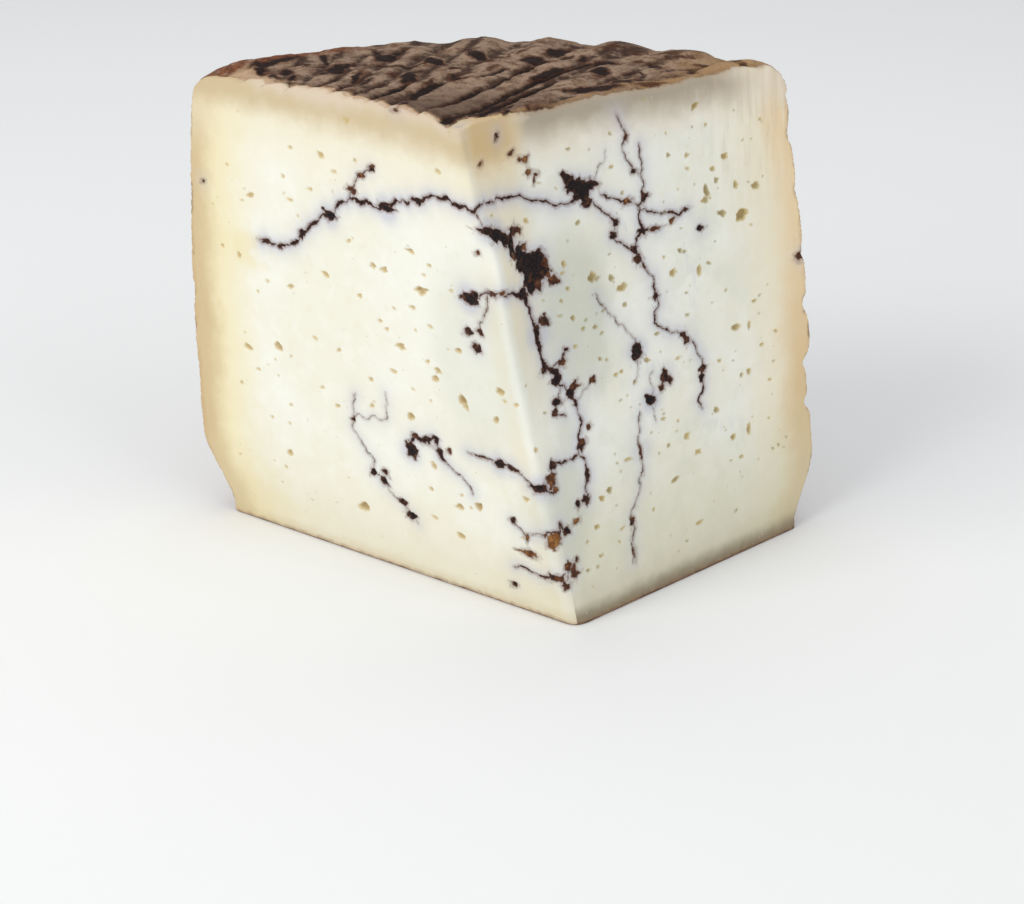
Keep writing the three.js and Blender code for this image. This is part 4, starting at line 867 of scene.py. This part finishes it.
# painted highlight: a narrow bright band along the rounded front edge
painted_ridge_highlight = bell(nose_s / 1.05) * is_side * smooth(0, 8, plain[:, 2]) * smooth(HEIGHT - 1, HEIGHT - 6, plain[:, 2])
beside = smooth(-9, -4, nose_s) * smooth(-1.4, -2.8, nose_s) * is_side * smooth(112, 92, plain[:, 2])
tint = [np.zeros(len(pos)) for _ in range(3)]
for k, (f, u, z, ru, rz, amount, kind) in enumerate(TINTS):
    s0 = way_round(f, u, z)
    c3 = to_xyz([[s0, z]])[0]
    tan_ = side_xy(np.array([s0 + 0.4]), np.array([float(z)]))[0] - side_xy(np.array([s0 - 0.4]), np.array([float(z)]))[0]
    tan_ = tan_ / length(tan_)
    d = plain - c3
    p, q = (d[:, 0] * tan_[0] + d[:, 1] * tan_[1]) / ru, d[:, 2] / rz
    if kind == 2: q = q + 0.8 * p
    off = np.abs(-d[:, 0] * tan_[1] + d[:, 1] * tan_[0])
    w = amount * smooth(1.25, 0.55, np.hypot(p, q)) * (off < 14) * on_cut
    tint[kind] = np.maximum(tint[kind], w)

# ---------------------------------------------------------------------------
# Displace: eyes and vein grooves inwards, uneven cut, rough rind
# ---------------------------------------------------------------------------
def normals(p, t):
    n = np.zeros_like(p)
    f = np.cross(p[t[:, 1]] - p[t[:, 0]], p[t[:, 2]] - p[t[:, 0]])
    for i in range(3): np.add.at(n, t[:, i], f)
    return n / np.maximum(np.linalg.norm(n, axis=1), 1e-12)[:, None]

nrm = normals(pos, tris)
on_face = smooth(0.4, 2.5, d_rind) * on_cut
move = np.zeros(len(pos))
move -= pit * smooth(0.6, 1.8, d_rind)
# the cut: broad waves, and the drag marks of the wire
sz = np.column_stack([s_all, plain[:, 2]])
near_nose = smooth(9, 2, np.abs(s_all - (STOPS[3] + 2.5)))
waves = 0.22 * fractal(sz / [1, 1.6], 24, 51, 2) + 0.10 * fractal(sz / [1, 2.2], 6, 53, 2) + 0.035 * fractal(sz / [1, 5], 1.6, 55, 2) - 0.12
move += on_face * np.where(waves > 0, waves * (1 - near_nose), waves)
# a gentle swelling just right of the bend
move += on_face * 0.45 * bell((s_all - (STOPS[6] + 14)) / 9) * smooth(50, 75, plain[:, 2]) * smooth(134, 120, plain[:, 2])
# veins: a shallow groove with crumbly truffle in it
inside_v = smooth(0.25, -0.15, vein)
crumb = fractal(plain, 0.9, 57, 2)
move += on_face * inside_v * (-0.34 + 0.34 * crumb + 0.42 * smooth(-0.3, -1.4, vein) * fractal(plain, 1.9, 58, 2))
move += on_face * smooth(0.9, 0.1, vein) * (1 - inside_v) * -0.08
# rind on the back: pores and creases
on_back_w = (is_side & ~on_cut) * smooth(0, 4, plain[:, 2]) * smooth(HEIGHT, HEIGHT - 4, plain[:, 2])
arc = np.column_stack([np.radians(deg_all) * 118, plain[:, 2]])
creases = fractal(arc / [1, 1], 2.6, 91, 3)
bark = fractal(arc / [3.2, 1], 3.0, 95, 2)
move += on_back_w * (0.28 * creases + 0.30 * bark - 0.30)
move[ids] = move[ids]
move = np.where(is_base, 0, move)
move = np.where(is_side & (plain[:, 2] < 0.05), 0, move)
step = nrm * move[:, None]
step[:, 2] *= smooth(0.0, 3.0, pos[:, 2])
pos = pos + step
pos[:, 2] = np.maximum(pos[:, 2], 0)

row_pos = (pos - np.array([SHIFT[0], SHIFT[1], 0.0])) / 1000.0
lo, hi = np.array(cad_box[0]), np.array(cad_box[1])
hi[2] -= 0.00005
row_pos = np.clip(row_pos, lo, hi)                        # never outside the solid's box

used = np.unique(tris)
renumber = np.full(len(pos), -1)
renumber[used] = np.arange(len(used))
mesh = bpy.data.meshes.new("pecorino")
mesh.from_pydata(row_pos[used].tolist(), [], renumber[tris].tolist())
mesh.update()
def attribute(name, values):
    a = mesh.attributes.new(name, "FLOAT", "POINT")
    a.data.foreach_set("value", np.asarray(values, np.float32)[used])
base_ness = np.where(is_base, 1.0, 0.0)
NAMES = {"vein": vein, "tone": tone, "bloom": bloom, "eye": eye, "pit": pit, "d_top": d_top, "d_side": d_side, "d_base": d_base,
         "strong": strong, "d_rind": d_rind, "relief": relief, "stain": stain, "stain_tone": stain_tone, "rim_red": rim_red, "tan_left": tan_left,
         "ochre_r": ochre_r, "ochre_e": ochre_e, "rim_in": rim_in, "front": front, "right_hand": right_hand, "facet": facet, "painted_ridge_highlight": painted_ridge_highlight, "beside": beside, "strip": strip, "crease": crease,
         "tint_0": tint[0], "painted_shade_tint": tint[1], "tint_2": tint[2], "top_ness": top_ness, "base_ness": base_ness}
for name, values in NAMES.items():
    attribute(name, values)
for p in mesh.polygons: p.use_smooth = True
wedge = bpy.data.objects.new("pecorino_paste_and_rind", mesh)
bpy.context.scene.collection.objects.link(wedge)
print("triangles", len(mesh.polygons), "vertices", len(mesh.vertices))

# ---------------------------------------------------------------------------
# Material
# ---------------------------------------------------------------------------
def srgb(r, g, b):
    def f(c):
        c /= 255
        return c / 12.92 if c <= 0.04045 else ((c + 0.055) / 1.055) ** 2.4
    return (f(r), f(g), f(b), 1)

mat = bpy.data.materials.new("cheese")
mat.use_nodes = True
nt = mat.node_tree
nt.nodes.clear()
N, L = nt.nodes, nt.links
def node(kind, **props):
    n = N.new(kind)
    for k, v in props.items(): setattr(n, k, v)
    return n
def plug(sock, v):
    if isinstance(v, bpy.types.NodeSocket): L.new(v, sock)
    elif v is not None: sock.default_value = v
coord = node("ShaderNodeTexCoord").outputs["Object"]
def attr(name): return node("ShaderNodeAttribute", attribute_name=name).outputs["Fac"]
def mapped(sx=1.0, sy=1.0, sz=1.0, rot=(0, 0, 0)):
    m = node("ShaderNodeMapping")
    L.new(coord, m.inputs["Vector"])
    m.inputs["Scale"].default_value = (1000 * sx, 1000 * sy, 1000 * sz)     # millimetres
    m.inputs["Rotation"].default_value = rot
    return m.outputs["Vector"]
mm = mapped()
def noise(size, detail=3.0, rough=0.55, vec=None, distortion=0.0):
    n = node("ShaderNodeTexNoise")
    L.new(vec or mm, n.inputs["Vector"])
    n.inputs["Scale"].default_value = 1.0 / size
    n.inputs["Detail"].default_value = detail
    n.inputs["Roughness"].default_value = rough
    n.inputs["Distortion"].default_value = distortion
    return n.outputs["Fac"]
def cells(size, vec=None, what="Distance", feature="F1", jitter=1.0):
    n = node("ShaderNodeTexVoronoi", feature=feature)
    L.new(vec or mm, n.inputs["Vector"])
    n.inputs["Scale"].default_value = 1.0 / size
    n.inputs["Randomness"].default_value = jitter
    return n.outputs[what]
def m(op, a, b=None, c=None, clamp=False):
    n = node("ShaderNodeMath", operation=op, use_clamp=clamp)
    plug(n.inputs[0], a); plug(n.inputs[1], b)
    if c is not None: plug(n.inputs[2], c)
    return n.outputs[0]
def ramp(v, a, b, lo=0.0, hi=1.0):
    n = node("ShaderNodeMapRange", interpolation_type="SMOOTHSTEP")
    plug(n.inputs["Value"], v)
    # from a (gives lo) to b (gives hi); a may be above b
    if a > b: a, b, lo, hi = b, a, hi, lo
    for k, x in (("From Min", a), ("From Max", b), ("To Min", lo), ("To Max", hi)): n.inputs[k].default_value = x
    return n.outputs["Result"]
def blend(f, a, b, mode="MIX"):
    n = node("ShaderNodeMix", data_type="RGBA", blend_type=mode)
    plug(n.inputs["Factor"], f)
    plug(n.inputs[6], a); plug(n.inputs[7], b)
    return n.outputs[2]

A = {k: attr(k) for k in NAMES}
def times(*v):
    out = v[0]
    for x in v[1:]: out = m("MULTIPLY", out, x)
    return out
n_big, n_mid, n_small, n_tiny = noise(28, 1), noise(6, 2.5), noise(1.6, 2.5), noise(.55, 1.5)
mid0, small0, tiny0 = m("SUBTRACT", n_mid, .5), m("SUBTRACT", n_small, .5), m("SUBTRACT", n_tiny, .5)
left_hand = m("SUBTRACT", 1.0, A["right_hand"])

# paste
paste = blend(ramp(n_big, .35, .65), srgb(243, 242, 230), srgb(240, 237, 220))
paste = blend(times(ramp(n_mid, .45, .68), .30), paste, srgb(249, 249, 241))
paste = blend(times(ramp(noise(3.1, 2.5, .6), .55, .75), .22), paste, srgb(231, 225, 198))
paste = blend(times(ramp(noise(10, 2.5, .6), .47, .66), A["right_hand"], .40), paste, srgb(226, 227, 212))
# yellower towards the curved rind, tan just under it
side_in = m("ADD", A["d_side"], times(mid0, 6.0))
side_in = m("ADD", side_in, times(m("SUBTRACT", n_big, .5), 9.0))
paste = blend(times(ramp(side_in, 34, 9), .85), paste, blend(A["right_hand"], srgb(239, 226, 181), srgb(244, 232, 202)))
paste = blend(times(ramp(side_in, 15, 3.5), .92), paste, blend(A["right_hand"], srgb(208, 184, 142), srgb(241, 215, 173)))
paste = blend(times(ramp(side_in, 18, 4), A["right_hand"], ramp(A["d_base"], 90, 40), .78), paste, srgb(219, 190, 144))
paste = blend(times(ramp(side_in, 3.0, .5), .35), paste, srgb(192, 154, 108))
edge_n = m("ADD", A["d_side"], times(small0, 1.6))
paste = blend(times(ramp(edge_n, 2.3, .8), ramp(noise(7, 3), .49, .60), .72), paste, srgb(112, 86, 68))
paste = blend(times(ramp(edge_n, 3.8, 1.2), ramp(A["relief"], -.1, -.8), ramp(A["d_top"], 8, 14), .80), paste, srgb(88, 62, 45))
# under the upper rind
plain_right = m("MULTIPLY", A["right_hand"], m("SUBTRACT", 1.0, A["facet"]))
top_in_ = m("ADD", A["d_top"], times(mid0, 4.5))
paste = blend(times(ramp(top_in_, 30, 9), left_hand, .60), paste, srgb(237, 226, 194))
paste = blend(times(ramp(top_in_, 13, 4.5), left_hand, .88), paste, srgb(205, 183, 144))
paste = blend(times(ramp(top_in_, 17, 5), plain_right, .78), paste, srgb(232, 220, 200))
paste = blend(times(ramp(top_in_, 11.0, 2.5), plain_right, ramp(A["d_side"], 8, 26), .85), paste, srgb(166, 152, 132))
# drawn marks of the cut down from the rim, far out on the right
draw = noise(2.6, 3, .55, vec=mapped(1, 1, .05))
outer_top = times(plain_right, ramp(A["d_top"], 44, 12), ramp(A["d_side"], 44, 24))
paste = blend(times(ramp(draw, .46, .66), outer_top, .30), paste, srgb(208, 190, 162))
paste = blend(times(ramp(draw, .46, .32), outer_top, .26), paste, srgb(250, 246, 236))
paste = blend(times(A["facet"], .66, ramp(A["d_base"], 52, 88)), paste, srgb(241, 227, 192))
paste = blend(times(ramp(top_in_, 21, 9), A["facet"], .40), paste, srgb(238, 213, 166))
paste = blend(times(ramp(top_in_, 14.5, 6), A["facet"], .82), paste, srgb(210, 177, 121))
# the strip under the rims: rind paste on the left, a painted highlight line on the right
paste = blend(times(A["strip"], .86), paste, srgb(221, 203, 182))
paste = blend(times(A["beside"], .35), paste, srgb(230, 220, 188))
# painted highlight along the front edge, stronger lower down
paste = blend(times(A["painted_ridge_highlight"], ramp(A["d_base"], 108, 90), m("ADD", .12, ramp(A["d_base"], 28, 62, 0, .34))), paste, srgb(252, 251, 243))
# over the base: painted shade darkening the right cut towards its foot, partly the rind's own brown at the very edge,
# and on the left a painted warm reflection from below
base_in_ = m("ADD", A["d_base"], times(mid0, 3.0))
paste = blend(times(ramp(base_in_, 52, 6), A["right_hand"], .55), paste, srgb(207, 202, 172))
paste = blend(times(ramp(base_in_, 13, 2), A["right_hand"], .45), paste, srgb(192, 181, 150))
paste = blend(times(ramp(base_in_, 6.5, .8), A["right_hand"], .86), paste, srgb(134, 119, 95))
paste = blend(times(ramp(base_in_, 30, 4), left_hand, .45), paste, srgb(222, 209, 172))
paste = blend(times(ramp(base_in_, 5.0, .5), left_hand, .40), paste, srgb(206, 188, 150))
# tints
paste = blend(times(A["tint_0"], ramp(n_mid, .30, .60)), paste, srgb(233, 214, 146))
# painted shade over the shallow waves of the cut, slightly greenish
paste = blend(times(A["painted_shade_tint"], .85), paste, srgb(199, 201, 184))
paste = blend(times(A["tint_2"], ramp(noise(1.4, 3, .6, vec=mapped(1, 1, .3)), .45, .6), .5), paste, srgb(196, 200, 212))
# cool bloom round the veins
paste = blend(times(A["bloom"], .70), paste, srgb(193, 194, 208))
# eyes: ochre and damp inside, a darker rim, and painted shade deepest in the pits
eye_in = ramp(m("ADD", A["eye"], times(small0, .25)), .22, -.34)
paste = blend(times(eye_in, .78), paste, blend(A["right_hand"], srgb(214, 189, 132), blend(ramp(noise(8, 1), .42, .58), srgb(180, 164, 108), srgb(208, 184, 118))))
# painted shade: the eyes darken where their pits are deepest, over their own ochre
paste = blend(times(ramp(A["pit"], .30, 1.1), .62), paste, srgb(142, 110, 56))
# pinholes
pin_cell = cells(3.4)
pin_pick = cells(3.4, what="Color")
sep = node("ShaderNodeSeparateColor"); L.new(pin_pick, sep.inputs[0])
pin = times(ramp(pin_cell, .085, .05), ramp(sep.outputs[0], .62, .66))
paste = blend(times(pin, .5), paste, srgb(198, 168, 108))
fleck = times(ramp(cells(2.7, vec=mapped(1, 1, 1, (.4, .2, .9))), .09, .04), ramp(noise(9, 1), .5, .6))
paste = blend(times(fleck, .5), paste, srgb(255, 253, 244))

# truffle
truffle = blend(ramp(A["tone"], .02, .30), blend(ramp(n_small, .4, .62), srgb(132, 84, 46), srgb(172, 124, 70)), blend(ramp(A["tone"], .30, .80), srgb(96, 60, 40), srgb(32, 26, 27)))
truffle = blend(times(ramp(n_tiny, .56, .7), .45), truffle, srgb(88, 64, 54))
truffle = blend(times(ramp(noise(.8, 2), .62, .72), .35), truffle, srgb(18, 14, 16))
v_edge = m("ADD", A["vein"], m("ADD", times(tiny0, .55), times(m("SUBTRACT", noise(1.2, 2), .5), .5)))
v_mask = times(ramp(v_edge, .18, -.16), A["strong"])
truffle = blend(times(ramp(m("ADD", v_edge, times(small0, .9)), -.75, .05), .55), truffle, srgb(92, 52, 36))
v_stain = times(ramp(v_edge, 1.0, .0), A["strong"], .50)
paste = blend(v_stain, paste, srgb(134, 104, 86))
cut = blend(v_mask, paste, truffle)

# rind
rn_mid, rn_small = noise(4.5, 3, .6), noise(1.3, 3, .62)
rm0, rs0 = m("SUBTRACT", rn_mid, .5), m("SUBTRACT", rn_small, .5)
streak = noise(1.0, 3, .6, vec=mapped(.9, .22, .9, (0, 0, math.radians(-26))))
rind = blend(ramp(rn_mid, .35, .7), srgb(151, 123, 101), srgb(110, 80, 60))
rind = blend(times(ramp(streak, .45, .65), .5), rind, srgb(161, 134, 111))
rind = blend(times(ramp(rn_small, .52, .74), .60), rind, srgb(74, 49, 36))
rind = blend(times(left_hand, ramp(rn_mid, .62, .42), .36), rind, srgb(174, 149, 128))
rind = blend(times(A["front"], .70), rind, srgb(88, 68, 57))
groove = m("ADD", A["relief"], times(rs0, 1.3))
rind = blend(times(ramp(groove, .15, -.7), ramp(rn_mid, .28, .52), .85), rind, srgb(48, 27, 19))
ochre_n = times(A["ochre_r"], ramp(m("ADD", rn_mid, times(rn_small, .4)), .46, .72), .95)
rind = blend(ochre_n, rind, srgb(194, 156, 108))
rind = blend(times(A["ochre_e"], ramp(m("ADD", rn_small, times(rn_mid, .6)), .55, .85)), rind, blend(A["right_hand"], srgb(184, 150, 116), srgb(170, 134, 94)))
rind = blend(times(A["tan_left"], ramp(rn_mid, .36, .52), .6), rind, srgb(184, 150, 114))
rim_n = times(A["rim_in"], ramp(m("ADD", rn_small, times(A["rim_in"], .5)), .44, .82))
rind = blend(rim_n, rind, blend(ramp(A["rim_in"], .62, 1.0), srgb(154, 120, 88), srgb(194, 163, 132)))
streak0 = m("SUBTRACT", streak, .5)
st_in = m("ADD", A["stain"], m("ADD", times(rs0, 2.2), m("ADD", times(rm0, 1.8), times(streak0, 2.0))))
rind = blend(times(ramp(st_in, -1.2, .5), .80), rind, srgb(86, 51, 33))
st_col = blend(ramp(A["stain_tone"], .35, .85), srgb(80, 42, 24), srgb(27, 15, 12))
rind = blend(times(ramp(st_in, .05, 1.3), m("ADD", .35, times(A["stain_tone"], .6), clamp=True)), rind, st_col)
rind = blend(times(ramp(noise(.9, 3, .6), .55, .72), ramp(st_in, .2, 1.0), .25), rind, srgb(84, 60, 48))
rind = blend(times(ramp(m("ADD", A["crease"], times(rs0, .9)), .0, .45), .62), rind, srgb(78, 45, 28))
rind = blend(times(ramp(m("ADD", A["crease"], times(rs0, .9)), .25, .85), .94), rind, srgb(27, 15, 11))
rind = blend(times(A["rim_red"], ramp(rn_mid, .30, .50), .92), rind, blend(ramp(rn_small, .46, .62), srgb(132, 78, 48), srgb(86, 47, 30)))
# the curved back: browner, with pale bloom on the high places
back_w = m("MULTIPLY", m("SUBTRACT", 1.0, A["top_ness"], clamp=True), ramp(A["d_base"], -1, 1))
back = blend(ramp(noise(11, 3, .6), .40, .68), srgb(154, 126, 103), srgb(122, 95, 75))
back = blend(times(ramp(noise(7, 3, .62), .52, .68), .50), back, srgb(124, 80, 55))
back = blend(times(ramp(noise(2.4, 3, .65), .54, .70), .50), back, srgb(184, 160, 136))
back = blend(times(ramp(rn_small, .48, .7), .60), back, srgb(84, 59, 44))
groove_b = m("ADD", A["relief"], m("ADD", times(rs0, 1.6), times(rm0, 1.8)))
back = blend(times(ramp(groove_b, -.30, -1.0), ramp(rn_small, .66, .46), .70), back, srgb(70, 46, 34))
# dark marks left by the strands, drawn out level
mark = m("ADD", noise(6.5, 3, .62, vec=mapped(.42, .42, 1)), times(rs0, .35))
back = blend(times(ramp(mark, .555, .60), .55), back, srgb(90, 57, 38))
back = blend(times(ramp(mark, .585, .635), .85), back, srgb(40, 25, 19))
rind = blend(back_w, rind, back)
rind = blend(times(A["rim_red"], back_w, ramp(rn_mid, .40, .58), .55), rind, srgb(122, 74, 48))
rind = blend(A["base_ness"], rind, blend(ramp(rn_mid, .4, .6), srgb(150, 120, 88), srgb(108, 80, 60)))

# where rind ends and paste begins: a ragged line
line = m("ADD", A["d_rind"], m("ADD", times(rs0, .75), times(rm0, 1.3)))
is_rind = ramp(m("SUBTRACT", line, times(A["right_hand"], .3)), .50, -.05)
fringe = times(ramp(line, 1.7, .2), .5, m("SUBTRACT", 1.0, times(A["strip"], .6)))
cut = blend(fringe, cut, blend(A["right_hand"], srgb(196, 160, 126), srgb(164, 126, 86)))
colour = blend(is_rind, cut, rind)

# relief finer than the mesh
rough_paste = m("ADD", .44, m("MULTIPLY", m("SUBTRACT", n_mid, .5), .25))
rough_paste = m("ADD", rough_paste, m("MULTIPLY", v_mask, .3))
rough_all = node("ShaderNodeMix", data_type="FLOAT")
L.new(is_rind, rough_all.inputs[0]); L.new(rough_paste, rough_all.inputs[2]); rough_all.inputs[3].default_value = .84
h_paste = m("ADD", m("MULTIPLY", noise(2.2, 3, .5), .05), m("MULTIPLY", noise(.5, 2, .5, vec=mapped(1, 1, .16)), .018))
h_paste = m("ADD", h_paste, m("MULTIPLY", v_mask, m("MULTIPLY", m("SUBTRACT", n_tiny, .6), .30)))
h_rind = m("ADD", m("MULTIPLY", rn_small, .45), m("ADD", m("MULTIPLY", streak, .30), m("MULTIPLY", noise(.5, 3, .6), .12)))
height = node("ShaderNodeMix", data_type="FLOAT")
L.new(is_rind, height.inputs[0]); L.new(h_paste, height.inputs[2]); L.new(h_rind, height.inputs[3])
bump = node("ShaderNodeBump")
bump.inputs["Strength"].default_value = 0.8
bump.inputs["Distance"].default_value = 0.001
L.new(height.outputs[0], bump.inputs["Height"])

bsdf = node("ShaderNodeBsdfPrincipled")
out = node("ShaderNodeOutputMaterial")
L.new(bsdf.outputs[0], out.inputs[0])
L.new(colour, bsdf.inputs["Base Color"])
L.new(rough_all.outputs[0], bsdf.inputs["Roughness"])
L.new(bump.outputs[0], bsdf.inputs["Normal"])
bsdf.inputs["Subsurface Weight"].default_value = 0.0
bsdf.inputs["Subsurface Radius"].default_value = (1.0, 0.72, 0.42)
bsdf.inputs["Subsurface Scale"].default_value = 0.0024
bsdf.inputs["Specular IOR Level"].default_value = 0.15
mesh.materials.append(mat)

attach(wedge, "root")
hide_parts("pecorino_wedge")

# ---------------------------------------------------------------------------
# Floor, light and camera
# ---------------------------------------------------------------------------
floor_mat = bpy.data.materials.new("floor")
floor_mat.use_nodes = True
fb = floor_mat.node_tree.nodes["Principled BSDF"]
fb.inputs["Base Color"].default_value = (0.95, 0.95, 0.945, 1)
fb.inputs["Roughness"].default_value = 0.9
fm = bpy.data.meshes.new("floor")
fm.from_pydata([(-6, -4, 0), (6, -4, 0), (6, 10, 0), (-6, 10, 0)], [], [(0, 1, 2, 3)])
fm.materials.append(floor_mat)
floor = bpy.data.objects.new("floor", fm)
bpy.context.scene.collection.objects.link(floor)
floor.location.z = -0.0002

scene = bpy.context.scene
world = bpy.data.worlds.new("studio")
world.use_nodes = True
world.node_tree.nodes["Background"].inputs[0].default_value = (0.93, 0.96, 1.0, 1)
world.node_tree.nodes["Background"].inputs[1].default_value = 0.52
scene.world = world

def softbox(name, place, aim, size, power, colour):
    light = bpy.data.lights.new(name, "AREA")
    light.shape = "RECTANGLE"
    light.size, light.size_y = size
    light.energy = power
    light.color = colour
    o = bpy.data.objects.new(name, light)
    o.location = place
    o.rotation_euler = (Vector(aim) - Vector(place)).to_track_quat("-Z", "Y").to_euler()
    scene.collection.objects.link(o)
softbox("key", (-0.95, -0.75, 0.85), (0, 0, .07), (0.9, 0.7), 9.35, (1.0, 0.988, 0.955))
softbox("fill", (1.2, -0.9, 0.8), (0, 0, .07), (1.2, 1.0), 5.2, (0.98, 0.99, 1.0))
softbox("overhead", (0.0, 0.6, 1.3), (0, 0, .1), (1.4, 1.0), 3.8, (1, 0.99, 0.97))

cam_data = bpy.data.cameras.new("camera")
cam_data.sensor_width = 36.0
cam_data.sensor_fit = "HORIZONTAL"
cam_data.lens = 36.0 * 2000 / 1024
cam_data.clip_start = 0.01
cam = bpy.data.objects.new("camera", cam_data)
elev, away = math.radians(24.3), 0.65148
aim = Vector((0.0023245544, 0.0556312722, 0.0))
cam.location = aim + Vector((0, -math.cos(elev) * away, math.sin(elev) * away))
cam.rotation_euler = (math.pi / 2 - elev, 0, 0)
scene.collection.objects.link(cam)
scene.camera = cam
scene.view_settings.view_transform = "Standard"
